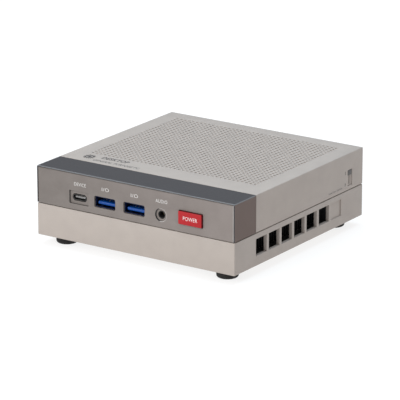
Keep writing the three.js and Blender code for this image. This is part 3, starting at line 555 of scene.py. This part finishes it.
def bezel_band():
    """The dark band: a cap over the front of the top and sides, with a narrow rim round the fascia."""
    behind, wall = FRONT + 1.3, 1.6
    lip_half, inner_half = HALF - RIM_LIP, HALF - wall
    band = boxed((-HALF, FRONT, UPPER_BASE), (HALF, BEZEL_BACK, TOP))
    over_top = [e for e in band.edges if all(v.co.z > TOP - 0.01 for v in e.verts)
                and not all(v.co.y > BEZEL_BACK - 0.01 for v in e.verts)]
    soften(band, over_top, 0.42, 1)
    band = cut(
        band,
        boxed((-inner_half, behind, UPPER_BASE - 1), (inner_half, BEZEL_BACK + 1, TOP - wall)),
        boxed((-lip_half, FRONT - 1, UPPER_BASE - 1), (lip_half, behind, TOP - RIM_LIP)),
        boxed((-inner_half, behind - 0.5, UPPER_BASE - 1), (inner_half, behind + 0.5, TOP - wall)))
    for face in band.faces:
        normal, middle = face.normal, face.calc_center_median()
        if abs(normal.x) > 0.8:
            face.material_index = 1
        # painted highlight: the chamfer faces that turn upward get the lighter edge colour
        elif 0.2 < normal.z < 0.95:
            face.material_index = 2
        elif normal.y < -0.9 and middle.y < FRONT + 0.01 and middle.x < 1 - HALF:
            face.material_index = 3
    piece("bezel_band", band, [SLATE, SLATE_SIDE, BEZEL_PAINTED_HIGHLIGHT, STONE_PAINTED_REFLECTION], replaces=["front_bezel"])


def socket_middle(name):
    low, high = node_box(name)
    return (low.x + high.x) / 2, (low.z + high.z) / 2


USB_C = socket_middle("usb_c_shell")
USB_LEFT = socket_middle("usb_front_left_shell")
USB_RIGHT = socket_middle("usb_front_right_shell")
AUDIO = socket_middle("audio_jack")
BUTTON = socket_middle("power_button")
DISH = 0.8  # how deep the audio socket's dish and the oval socket's recess are
WIDE_HOLE = (13.8, 6.4)  # the cut-out round a rectangular socket


def fascia_plate():
    """The plate in the bezel's rim, with a bevelled border whose right edge carries a painted highlight,
    and the cut-outs of its sockets.
    """
    half = FASCIA[1].x
    plate = boxed((RIM_LIP + 0.05 - HALF, FRONT, UPPER_BASE), (half, FRONT + 1, TOP - RIM_LIP - GAP))
    border = [e for e in plate.edges if all(v.co.y < FRONT + 0.01 for v in e.verts)
              and not all(v.co.z < UPPER_BASE + 0.01 for v in e.verts)]
    soften(plate, border, 0.35, 1)
    back = boxed((-61, FRONT + 0.5, UPPER_BASE), (61, FRONT + 2.2, TOP - 1.9))
    tab = boxed((-57, FRONT + 1.6, COLLAR_BASE), (57, FRONT + 3.2, UPPER_BASE + 2))
    plate = boolean(boolean(plate, back, "UNION"), tab, "UNION")
    start, through = FRONT - 1, 6
    x, z = AUDIO
    plate = cut(
        plate,
        pilled(USB_C, start, 12.6, 7.3, 1 + DISH, 0.5, 4),
        pilled(USB_C, start, 9.5, 4.1, through, 2.05, 8),
        pilled(USB_LEFT, start, *WIDE_HOLE, through, 1, 5),
        pilled(USB_RIGHT, start, *WIDE_HOLE, through, 1, 5),
        pilled(BUTTON, start, 15.4, 7.8, through, 0.5, 4),
        bar(3.45, (x, start, z), (x, FRONT + DISH, z), 48),
        bar(2.3, (x, start, z), (x, start + through, z), 48))
    rims = sharp_edges(plate, lambda e: all(v.co.y < FRONT + 0.01 and abs(v.co.x) < half - 1
                                            and v.co.z > UPPER_BASE + 0.5 for v in e.verts))
    round_audio = {e for e in rims if all(math.hypot(v.co.x - x, v.co.z - z) < 4 for v in e.verts)}
    soften(plate, round_audio, 0.28)
    soften(plate, [e for e in rims if e.is_valid and e not in round_audio], 0.1)
    for face in plate.faces:
        middle, turned = face.calc_center_median(), abs(face.normal.y)
        # painted highlight: the bevel along the plate's right edge gets the pale edge colour
        if -0.95 < face.normal.y < -0.3 and middle.x > half - 0.5:
            face.material_index = 1
        # the oval socket's recess walls are black: partly a dark frame round the socket, partly painted
        # shade in the recess
        elif (turned < 0.85 and middle.y < FRONT + DISH and abs(middle.x - USB_C[0]) < 6.6
              and abs(middle.z - USB_C[1]) < 4):
            face.material_index = 2
        # painted shadow and painted highlight round the audio dish: its wall and the left side of its rim
        # are black, the rest of its rim gets the pale edge colour
        elif 3.3 < math.hypot(middle.x - x, middle.z - z) < 3.9 and turned < 0.95:
            face.material_index = 2 if turned < 0.1 or face.normal.x > 0.1 else 1
    piece("fascia_plate", plate, [STONE_PAINTED_REFLECTION, FASCIA_PAINTED_HIGHLIGHT, BLACK], replaces=["front_fascia"])


# ---- Power button ----------------------------------------
def power_key():
    low, high = node_box("power_button")
    x, z = BUTTON
    cap = pilled(BUTTON, low.y, 14.8, 7.2, 4.1, 0.45, 4)
    soften_end(cap, low.y, 0.4, segments=4)
    flange = soft_box((x - 8.4, low.y + 3.7, z - 4.2), (x + 8.4, low.y + 4.6, z + 4.2), 0.15)
    merge(cap, flange, bar(1.2, (x, low.y + 4.4, z), (x, high.y, z), 20))
    cap.normal_update()
    # painted shade: every face but the key's front gets the darker red
    for face in cap.faces:
        face.material_index = 0 if face.normal.y < -0.5 else 1
    piece("power_key", cap, [RED, RED_PAINTED_SHADE], "power_button", ["power_button"])


# ---- Feet ------------------------------------------------
def foot_pad(place):
    """A moulded rubber foot: a full round body with a softened rim, and a waist under the case."""
    low, high = node_box(f"foot_{place}")
    middle = (low + high) / 2
    radius, height = (high.x - low.x) / 2, high.z - low.z
    edge, waist = 1.4, 0.35
    profile = [(0, 0.25), (radius * 0.45, 0.25), (radius * 0.5, 0), (radius - edge, 0)]
    for i in range(1, 7):
        angle = i / 6 * math.pi / 2
        profile.append((radius - edge + edge * math.sin(angle), edge - edge * math.cos(angle)))
    profile += [(radius, height - 1.9), (radius - waist, height - 1.5), (radius - waist, height),
                (0, height)]
    bm = bmesh.new()
    points = [bm.verts.new((x, 0, z)) for x, z in profile]
    outline = [bm.edges.new(pair) for pair in zip(points, points[1:])]
    bmesh.ops.spin(bm, geom=points + outline, cent=(0, 0, 0), axis=(0, 0, 1), angle=2 * math.pi,
                   steps=48, use_merge=True)
    bmesh.ops.remove_doubles(bm, verts=bm.verts[:], dist=0.001)
    bmesh.ops.recalc_face_normals(bm, faces=bm.faces[:])
    bmesh.ops.translate(bm, vec=(middle.x, middle.y, low.z), verts=bm.verts[:])
    piece(f"foot_pad_{place}", bm, RUBBER, replaces=[f"foot_{place}"])


# ---- Slide switch ----------------------------------------
def slide_thumb():
    """The knob in its slot: a ribbed pad on a stem."""
    low, high = SWITCH
    pad = soft_box((HALF - 0.5, low.y, low.z), (HALF - 0.12, high.y, high.z), 0.1)
    ribs = []
    for i in range(4):
        z = low.z + 0.55 + i * 0.63
        rib = boxed((HALF - 0.3, low.y + 0.25, z - 0.14), (HALF, high.y - 0.25, z + 0.14))
        soften(rib, edges_along(rib, Y), 0.1)
        ribs.append(rib)
    middle = (low.z + high.z) / 2
    stem = boxed((low.x, SWITCH_Y - 0.25, middle - 0.6), (HALF - 0.4, SWITCH_Y + 0.25, middle + 0.6))
    merge(pad, stem, *ribs)
    piece("slide_thumb", pad, GRAPHITE, "slide_knob", ["slide_knob"])


# ---- Sockets ---------------------------------------------
def placed(bm, node):
    """Moves a part that was made about the origin to its node's mouth, turned round at the rear."""
    low, high = node_box(node)
    middle = (low + high) / 2
    rear = middle.y > 0
    if rear:
        bmesh.ops.rotate(bm, verts=bm.verts[:], matrix=Matrix.Rotation(math.pi, 3, "Z"))
    mouth = high.y if rear else low.y
    bmesh.ops.translate(bm, vec=(middle.x, mouth, middle.z), verts=bm.verts[:])
    return bm


def leaf_spring(x, wall, inward, length=4.4, width=1.7):
    """A pressed contact spring: it starts in the wall, bends inward and lifts at its free end."""
    start, thick, lift = 1.2, 0.22, 0.62
    bm = boxed((x - width / 2, start, -thick / 2), (x + width / 2, start + length, thick / 2))
    bmesh.ops.subdivide_edges(bm, edges=edges_along(bm, Y), cuts=7, use_grid_fill=True)
    for vert in bm.verts:
        along = (vert.co.y - start) / length
        vert.co.z += wall - inward * lift * math.sin(math.pi * min(1, along * 1.15)) ** 1.5
    return bm


def usb_socket(place):
    """A steel mouth with four springs, and a blue tongue on its backing block, with gold contacts."""
    node = f"usb_{place}_shell"
    shell = cut(pilled((0, 0), 0, 13.1, 5.7, 14, 0.5, 4), pilled((0, 0), -1, 12.5, 5.1, 14.5, 0.3, 4))
    soften_end(shell, 0, 0.1)
    merge(shell, *[leaf_spring(x, side * 2.45, side * 0.6) for x in (-3.2, 3.2) for side in (-1, 1)])
    # painted shade: the front mouths get the dark navy steel, the rear ones plain steel
    finish = NAVY_STEEL_PAINTED_SHADE if "front" in place else STEEL
    piece(f"wide_mouth_{place}", placed(shell, node), finish, replaces=[node])
    tongue = boxed((-5.55, 1.3, -1.85), (5.55, 11, 0))
    soften(tongue, [e for e in edges_along(tongue, X) if e.verts[0].co.y < 1.31], 0.75, 6)
    merge(tongue, boxed((-5.95, 10.9, -2.25), (5.95, 13.2, 2.25)))
    piece(f"wide_tongue_{place}", placed(tongue, node), BLUE,
          replaces=[f"usb_{place}_tongue"])
    contacts = bmesh.new()
    for x in (-3.5, -1, 1, 3.5):
        add_box(contacts, (x - 0.4, 5.6, -0.05), (x + 0.4, 10.8, 0.03))
    for x in (-3.9, -2, 0, 2, 3.9):
        add_box(contacts, (x - 0.22, 3.4, -0.05), (x + 0.22, 4.6, 0.015))
    piece(f"wide_tongue_{place}_contacts", placed(contacts, node), GOLD)


def usb_c_socket():
    node = "usb_c_shell"
    shell = cut(pilled((0, 0), 0, 8.9, 3.2, 7.5, 1.59, 8), pilled((0, 0), -1, 8.3, 2.6, 8, 1.29, 8))
    soften_end(shell, 0, 0.08)
    piece("oval_mouth", placed(shell, node), SHADED_STEEL, replaces=[node])
    tongue = boxed((-3.3, 0.7, -0.38), (3.3, 5.2, 0.38))
    soften(tongue, edges_along(tongue, X) + edges_along(tongue, Z), 0.12)
    merge(tongue, boxed((-3.45, 5.1, -0.95), (3.45, 6.7, 0.95)))
    piece("oval_tongue", placed(tongue, node), PEARL, replaces=["usb_c_tongue"])
    pins = bmesh.new()
    for i in range(12):
        x = (i - 5.5) * 0.5
        add_box(pins, (x - 0.14, 1.9, -0.41), (x + 0.14, 5, 0.41))
    piece("oval_contacts", placed(pins, node), GOLD)
    guard = soft_box((-3.4, 0.62, -0.14), (3.4, 1.3, 0.14), 0.08)
    piece("oval_guard", placed(guard, node), SHADED_STEEL)


def audio_socket():
    low, high = node_box("audio_jack")
    (x, z), y = AUDIO, low.y
    block = soft_box((x - 3.1, y + 2.4, z - 2.85), (x + 3.1, high.y, z + 2.85), 0.2)
    body = boolean(bar(2.05, (x, y, z), (x, y + 3, z), 40), block, "UNION")
    body = cut(body, bar(1.78, (x, y - 1, z), (x, y + 12, z), 40))
    soften_end(body, y, 0.1)
    piece("audio_barrel", body, BLACK, replaces=["audio_jack"])
    rings = bmesh.new()
    for start in (y + 4, y + 8.5):
        merge(rings, cut(bar(1.77, (x, start, z), (x, start + 1.2, z)),
                         bar(1.6, (x, start - 1, z), (x, start + 2, z))))
    piece("audio_contacts", rings, GOLD)


def video_outline(width, height, left, right, depth, y=0):
    """A video socket's section: a rectangle whose lower corners are cut off."""
    bm = boxed((-width / 2, y, -height / 2), (width / 2, y + depth, height / 2))
    for sign, size in ((-1, left), (1, right)):
        corner = [e for e in edges_along(bm, Y)
                  if e.verts[0].co.x * sign > width / 2 - 0.01 and e.verts[0].co.z < 0]
        soften(bm, corner, size, 1)
    return bm


def video_socket(node, name, width, left, right, tongue_width, pins):
    shell = cut(video_outline(width, 5.5, left, right, 11),
                video_outline(width - 0.7, 4.8, max(left - 0.2, 0.1), max(right - 0.2, 0.1), 9, -1))
    soften_end(shell, 0, 0.1)
    merge(shell, *[leaf_spring(x, 2.3, 1, 3.4, 1.4) for x in (-4, 4)])
    piece(name + "_mouth", placed(shell, node), STEEL, replaces=[node])
    tongue = boxed((-tongue_width / 2, 1, -0.35), (tongue_width / 2, 8.5, 0.75))
    soften(tongue, edges_along(tongue, X), 0.15)
    piece(name + "_tongue", placed(tongue, node), BLACK)
    contacts = bmesh.new()
    for i in range(pins):
        x = (i - (pins - 1) / 2) * tongue_width / (pins + 1)
        add_box(contacts, (x - 0.2, 2, -0.4), (x + 0.2, 8, 0.8))
    piece(name + "_contacts", placed(contacts, node), GOLD)


def network_socket():
    node = "lan_jack"
    low, high = node_box(node)
    top = (high.z - low.z) / 2
    floor, depth, wire_start = 1.2 - top, 13, 3
    body = boxed((-8, 0, -top), (8, 15, top))
    soften(body, edges_along(body, Y), 0.3, 3)
    body = cut(body, boxed((-5.9, -1, floor), (5.9, depth, floor + 7)),
               boxed((-3, -1, floor + 6.5), (3, depth, floor + 9)))
    soften_end(body, 0, 0.15)
    piece("network_can", placed(body, node), STEEL, replaces=[node])
    wires = bmesh.new()
    for i in range(8):
        x = (i - 3.5) * 1.02
        wire = boxed((x - 0.18, wire_start, floor + 0.6), (x + 0.18, depth - 0.2, floor + 0.9))
        for vert in wire.verts:
            vert.co.z += 2.4 * (vert.co.y - wire_start) / (depth - 0.2 - wire_start)
        merge(wires, wire)
    piece("network_contacts", placed(wires, node), GOLD)
    for side, name, colour in ((-1, "left", (0.05, 0.5, 0.12)), (1, "right", (0.75, 0.35, 0.03))):
        x = side * 5.6
        lamp = soft_box((x - 1.2, -0.05, top - 3.1), (x + 1.2, 1, top - 1.1), 0.15)
        piece(f"network_lamp_{name}", placed(lamp, node), moulded(f"lamp_{name}", colour, 0.25))


def power_inlet():
    low, high = node_box("dc_jack")
    x, z = socket_middle("dc_jack")
    back, mouth = low.y, high.y
    block = soft_box((low.x, back, low.z), (high.x, back + 9.2, high.z), 0.25)
    body = boolean(block, bar(3.05, (x, back + 8, z), (x, mouth, z), 40), "UNION")
    body = cut(body, bar(2.6, (x, back + 2, z), (x, mouth + 1, z), 40))
    soften_end(body, mouth, 0.12, side=1)
    piece("inlet_body", body, BLACK, replaces=["dc_jack"])
    tip = mouth - 1.5
    pin = bar(1.05, (x, back + 1, z), (x, tip, z), 24)
    soften_end(pin, tip, 0.3, side=1, segments=3)
    piece("inlet_pin", pin, STEEL)


def rear_plate():
    low, high = PANEL
    plate = boxed((low.x + 1 + GAP, low.y, WINDOW_BASE + GAP), (high.x - 1 - GAP, high.y, WINDOW_TOP - GAP))
    soften(plate, edges_along(plate, Y), 0.4, 3)
    plate = boolean(plate, boxed(low, (high.x, low.y + 0.8, high.z)), "UNION")
    start, depth = low.y - 1, high.y - low.y + 2
    x, z = socket_middle("dc_jack")
    cutters = [bar(3.4, (x, start, z), (x, start + depth, z), 40)]
    for node, size in (("hdmi_socket", (15.7, 6.3)), ("display_socket", (17.1, 6.3)),
                       ("usb_rear_left_shell", WIDE_HOLE), ("usb_rear_right_shell", WIDE_HOLE),
                       ("lan_jack", (16.6, 12.1))):
        cutters.append(pilled(socket_middle(node), start, *size, depth, 0.4, 3))
    plate = cut(plate, *cutters)
    soften_end(plate, high.y, 0.2, side=1)
    piece("rear_plate", plate, BLACK, replaces=["rear_panel"])


# ---- Printing --------------------------------------------
INK = 0.03  # its thickness
# Each face by the directions that its print runs in: to the right, and up.
FRONT_FACE, TOP_FACE, RIGHT_FACE, REAR_FACE = (X, Z), (X, Y), (Y, Z), (-X, Z)


def print_on(bm, name, middle, face, size, ink, body="case"):
    """Fits flat artwork to a width and height and lays it on a face of the case."""
    xs, ys = [v.co.x for v in bm.verts], [v.co.y for v in bm.verts]
    width, height = max(xs) - min(xs), max(ys) - min(ys)
    centre = Vector(((max(xs) + min(xs)) / 2, (max(ys) + min(ys)) / 2, 0))
    bmesh.ops.translate(bm, vec=-centre, verts=bm.verts[:])
    bmesh.ops.scale(bm, vec=(size[0] / width, size[1] / height, 1), verts=bm.verts[:])
    right, up = face
    turn = Matrix((right, up, right.cross(up))).transposed().to_4x4()
    bmesh.ops.transform(bm, matrix=Matrix.Translation(middle) @ turn, verts=bm.verts[:])
    bmesh.ops.remove_doubles(bm, verts=bm.verts[:], dist=0.0005)
    piece(name, bm, ink, body, smooth=False)


def lettering(name, words, middle, face, size, ink=LABEL_INK, body="case", weight=0.0):
    """Words of a given width and height. A weight above 0 makes their strokes thicker."""
    curve = bpy.data.curves.new(name, "FONT")
    curve.body, curve.size, curve.resolution_u = words, 4, 3
    curve.extrude, curve.offset, curve.space_character = INK / 2, weight, 1.06
    text = bpy.data.objects.new(name, curve)
    bpy.context.scene.collection.objects.link(text)
    bpy.context.view_layer.update()
    flat = bpy.data.meshes.new_from_object(text.evaluated_get(bpy.context.evaluated_depsgraph_get()))
    bpy.data.objects.remove(text)
    bm = bmesh.new()
    bm.from_mesh(flat)
    bpy.data.meshes.remove(flat)
    print_on(bm, name, middle, face, size, ink, body)


def chip_mark(name, middle, face, size, ink):
    """A plain drawing of a chip: a square ring about a square, with three legs on each side."""
    half, leg = INK / 2, 0.35
    bm = cut(boxed((-3, -3, -half), (3, 3, half)), boxed((-1.9, -1.9, -1), (1.9, 1.9, 1)))
    add_box(bm, (-1.2, -1.2, -half), (1.2, 1.2, half))
    for along in (-1.7, 0, 1.7):
        for side in (-1, 1):
            low, high = sorted((side * 3.2, side * 4.2))
            add_box(bm, (low, along - leg, -half), (high, along + leg, half))
            add_box(bm, (along - leg, low, -half), (along + leg, high, half))
    print_on(bm, name, middle, face, (size, size), ink)


def printing():
    z = UNDERSIDE + 32.9
    for name, words, x, width in (("oval_label", "DEVICE", -35.3, 7.6), ("left_label", "I/O", -18.6, 4.6),
                                  ("right_label", "I/O", 0.35, 4.6), ("audio_label", "AUDIO", 17.8, 7.4)):
        lettering(name, words, (x, FRONT, z), FRONT_FACE, (width, 1.9), weight=-0.03)
    button_front = node_box("power_button")[0].y
    lettering("power_label", "POWER", (BUTTON[0] + 0.3, button_front, BUTTON[1]), FRONT_FACE, (9, 2.05),
              WHITE_INK, "power_button", weight=-0.04)
    y = MIDDLE_Y
    chip_mark("top_mark", (-49.8, y - 35.3, TOP), TOP_FACE, 6.8, GREY_INK)
    lettering("top_title", "DESKTOP", (-33.8, y - 33.1, TOP), TOP_FACE, (17.4, 3.6), GREY_INK, weight=0.1)
    lettering("top_subtitle", "GENERAL PURPOSE PC", (-29.4, y - 39, TOP), TOP_FACE, (30.4, 2.6),
              PALE_INK, weight=0.04)
    for name, words, z, width in (("slide_up_label", "1", 28.6, 0.42), ("slide_down_label", "0", 22, 1.1)):
        lettering(name, words, (HALF, y + 45.6, UNDERSIDE + z), RIGHT_FACE, (width, 2), GREY_INK)
    lettering("slide_label", "FUNCTION SWITCH", (HALF, y + 35.4, UNDERSIDE + 20.9), RIGHT_FACE,
              (13.7, 0.9), GREY_INK)
    z = UNDERSIDE + 34
    for name, words, node, width in (("inlet_label", "DC IN", "dc_jack", 5),
                                     ("video_label_1", "VIDEO 1", "hdmi_socket", 7.5),
                                     ("video_label_2", "VIDEO 2", "display_socket", 7.5),
                                     ("rear_label_1", "I/O", "usb_rear_left_shell", 3.8),
                                     ("rear_label_2", "I/O", "usb_rear_right_shell", 3.8)):
        x = socket_middle(node)[0]
        lettering(name, words, (x, PANEL[1].y, z), REAR_FACE, (width, 1.5))


# ---- Board and cards -------------------------------------
BOARD = node_box("main_board")
DRAW = random.Random(11)


def keep_outs():
    """Footprints that the small parts of the board's upper side keep clear of."""
    names = ["memory_socket_lower", "memory_socket_upper", "memory_module_lower", "storage_socket",
             "storage_card", "storage_screw", "wireless_socket", "wireless_card", "coin_cell", "lan_jack",
             "dc_jack", "hdmi_socket", "display_socket", "usb_c_shell", "audio_jack", "power_switch",
             "slide_switch", "power_button"]
    areas = [node_box(name) for name in names + [f"usb_{place}_shell" for place, _, _ in CORNERS]]
    reach = Vector((4, 4, 0))
    return areas + [(Vector((x, y, 0)) - reach, Vector((x, y, 0)) + reach) for _, x, y in CORNERS]


def free_spots(width, depth, count, taken):
    """Random places for parts of one size, each clear of everything placed before."""
    spots, margin = [], 3
    reach = Vector((width / 2 + 0.5, depth / 2 + 0.5, 0))
    for _ in range(count * 30):
        if len(spots) == count:
            break
        x = DRAW.uniform(BOARD[0].x + margin, BOARD[1].x - margin)
        y = DRAW.uniform(BOARD[0].y + margin, BOARD[1].y - margin)
        low, high = Vector((x, y, 0)) - reach, Vector((x, y, 0)) + reach
        if all(high.x < t[0].x or low.x > t[1].x or high.y < t[0].y or low.y > t[1].y for t in taken):
            taken.append((low, high))
            spots.append((x, y))
    return spots


def board_parts():
    """Chips, coils, cans and small parts on the upper side of the main board."""
    taken, top, leg_pitch = keep_outs(), BOARD[1].z, 0.8
    chips, legs = bmesh.new(), bmesh.new()
    for width, depth, height, count in ((12, 12, 1.2, 2), (7, 7, 0.9, 5), (5, 4, 1.1, 9), (3, 3, 0.8, 14)):
        for x, y in free_spots(width, depth, count, taken):
            half_x, half_y = width / 2 - 0.5, depth / 2 - 0.5
            merge(chips, chip((x - half_x, y - half_y, top + 0.08), (x + half_x, y + half_y, top + height)))
            row = int((depth - 1.2) / leg_pitch)
            for i in range(row):
                along = y + (i - (row - 1) / 2) * leg_pitch
                for side in (-1, 1):
                    foot = x + side * (width / 2 - 0.25)
                    add_box(legs, (foot - 0.35, along - 0.15, top), (foot + 0.35, along + 0.15, top + 0.18))
    piece("board_chips", chips, EPOXY)
    piece("board_chip_legs", legs, STEEL)
    coils = bmesh.new()
    for x, y in free_spots(6.5, 6.5, 8, taken):
        merge(coils, soft_box((x - 3, y - 3, top + 0.05), (x + 3, y + 3, top + 3), 0.4, 3))
    piece("board_coils", coils, COATED)
    cans = bmesh.new()
    for x, y in free_spots(6, 6, 8, taken):
        can = bar(2.6, (x, y, top + 0.05), (x, y, top + 5), 24)
        soften(can, sharp_edges(can), 0.35, 3)
        merge(cans, can)
    piece("board_capacitor_cans", cans, STEEL)
    bodies, ends = bmesh.new(), bmesh.new()
    for x, y in free_spots(1.6, 0.8, 260, taken):
        add_box(bodies, (x - 0.5, y - 0.38, top), (x + 0.5, y + 0.38, top + 0.5))
        for end in (x - 0.62, x + 0.62):
            add_box(ends, (end - 0.16, y - 0.4, top), (end + 0.16, y + 0.4, top + 0.52))
    piece("board_small_parts", bodies, moulded("ceramic", (0.3, 0.2, 0.12), 0.5))
    piece("board_small_ends", ends, STEEL)


def memory_card(place):
    """A memory module: board, chips on it and the gold fingers in its socket."""
    node = f"memory_module_{place}"
    low, high = node_box(node)
    thick, chip_count, finger_count = 1, 4, 64
    card = boxed(low, (high.x, high.y, low.z + thick))
    piece(f"memory_board_{place}", card, GREEN, replaces=[node])
    chips = bmesh.new()
    for i in range(chip_count):
        x = (i - (chip_count - 1) / 2) * 16
        merge(chips, chip((x - 5.5, low.y + 11, low.z + thick + 0.03), (x + 5.5, low.y + 23, high.z)))
    piece(f"memory_chips_{place}", chips, EPOXY)
    fingers = bmesh.new()
    for i in range(finger_count):
        x = low.x + 3 + i * (high.x - low.x - 6) / (finger_count - 1)
        add_box(fingers, (x - 0.3, low.y + 0.1, low.z - 0.02),
                (x + 0.3, low.y + 2.6, low.z + thick + 0.02))
    piece(f"memory_fingers_{place}", fingers, GOLD)


def plug_in_card(node, name, chip_spans, shield):
    """A narrow card in its edge socket, with its chips or their metal shield."""
    low, high = node_box(node)
    y = (low.y + high.y) / 2
    thick, finger_count = 0.8, 34
    card = boxed(low, (high.x, high.y, low.z + thick))
    notch = bar(2, (high.x, y, low.z - 1), (high.x, y, low.z + 3))
    piece(name + "_board", cut(card, notch), GREEN, replaces=[node])
    chips = bmesh.new()
    for start, length in chip_spans:
        x = low.x + start
        merge(chips, chip((x, y - 7, low.z + thick + 0.02), (x + length, y + 7, high.z), 0.15))
    piece(name + ("_shield" if shield else "_chips"), chips, STEEL if shield else EPOXY)
    fingers = bmesh.new()
    for i in range(finger_count):
        along = low.y + 1 + i * (high.y - low.y - 2) / (finger_count - 1)
        add_box(fingers, (low.x + 0.1, along - 0.17, low.z - 0.02),
                (low.x + 2, along + 0.17, low.z + thick + 0.02))
    piece(name + "_fingers", fingers, GOLD)


def battery():
    low, high = node_box("coin_cell")
    x, y = (low.x + high.x) / 2, (low.y + high.y) / 2
    cell = bar(10, (x, y, low.z), (x, y, high.z - 0.5), 64)
    soften(cell, sharp_edges(cell), 0.5, 4)
    cap = bar(8.8, (x, y, high.z - 0.7), (x, y, high.z), 64)
    soften(cap, sharp_edges(cap), 0.3, 3)
    piece("battery", merge(cell, cap), STEEL, replaces=["coin_cell"])


# ---- Pieces that keep the frame's own shape --------------
def finish_nodes():
    """Gives the frame's remaining nodes their materials."""
    finishes = {
        STEEL: ["power_switch_plunger", "storage_screw"] + [f"case_screw_{c[0]}" for c in CORNERS],
        BLACK: ["power_switch", "slide_switch", "memory_socket_lower", "memory_socket_upper",
                "storage_socket", "wireless_socket", "antenna_lead_left", "antenna_lead_right",
                "fan_housing", "fan_rotor", "exhaust_duct"],
        GREEN: ["main_board"],
        EPOXY: ["processor"],
        COPPER: ["cold_plate", "heat_pipe_front", "heat_pipe_rear"],
        COATED: ["antenna_left", "antenna_right", "fin_stack"],
        SCREEN: ["dust_filter"],
    }
    for material, names in finishes.items():
        for name in names:
            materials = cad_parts[name].data.materials
            materials.clear()
            materials.append(material)


top_cover()
lower_case()
bezel_band()
fascia_plate()
power_key()
slide_thumb()
for place, _, _ in CORNERS:
    foot_pad(place)
for place, _, _ in CORNERS:
    usb_socket(place)
usb_c_socket()
audio_socket()
video_socket("hdmi_socket", "video_one", 15, 1.6, 1.6, 11.5, 19)
video_socket("display_socket", "video_two", 16.4, 1.8, 0.2, 12.6, 20)
network_socket()
power_inlet()
rear_plate()
printing()
board_parts()
memory_card("lower")
memory_card("upper")
plug_in_card("storage_card", "storage", [(10, 12), (28, 18), (50, 18)], False)
plug_in_card("wireless_card", "wireless", [(8, 15)], True)
battery()
finish_nodes()


# ---- Camera, floor and light -----------------------------
AZIMUTH, ELEVATION, DISTANCE, LENS = 34.126, 17.375, 1668.3, 273.58
TARGET = Vector((-2.98, 3.4, UNDERSIDE + 12.75))


def camera():
    data = bpy.data.cameras.new("camera")
    data.lens, data.sensor_width = LENS, 36
    made = bpy.data.objects.new("camera", data)
    a, e = math.radians(AZIMUTH), math.radians(ELEVATION)
    back = Vector((math.sin(a) * math.cos(e), -math.cos(a) * math.cos(e), math.sin(e)))
    made.location = (TARGET + back * DISTANCE) * MM
    made.rotation_mode = "QUATERNION"
    made.rotation_quaternion = (-back).to_track_quat("-Z", "Y")
    bpy.context.scene.collection.objects.link(made)
    bpy.context.scene.camera = made


def area_light(name, place, size, power, colour):
    """A square light, in metres and watts, that faces the object."""
    data = bpy.data.lights.new(name, "AREA")
    data.shape, data.size, data.energy, data.color = "SQUARE", size, power, colour
    made = bpy.data.objects.new(name, data)
    made.location = place
    made.rotation_mode = "QUATERNION"
    made.rotation_quaternion = (-Vector(place)).to_track_quat("-Z", "Y")
    bpy.context.scene.collection.objects.link(made)


def stage():
    bm = bmesh.new()
    bmesh.ops.create_grid(bm, x_segments=2, y_segments=2, size=6)
    floor = as_object("floor", bm)
    bm.free()
    floor.data.materials.append(pale_floor("floor_paper"))
    world = bpy.data.worlds.new("studio")
    world.use_nodes = True
    background = world.node_tree.nodes["Background"]
    background.inputs["Color"].default_value = (1.0, 0.94, 0.925, 1)
    background.inputs["Strength"].default_value = 0.565
    bpy.context.scene.world = world
    bpy.context.scene.view_settings.view_transform = "Standard"
    area_light("key", (-0.5, -1.8, 1.1), 1.4, 32, (1.0, 1.0, 0.985))
    area_light("overhead", (0.0, 0.3, 1.9), 1.6, 24.5, (0.78, 1.03, 1.21))


camera()
stage()
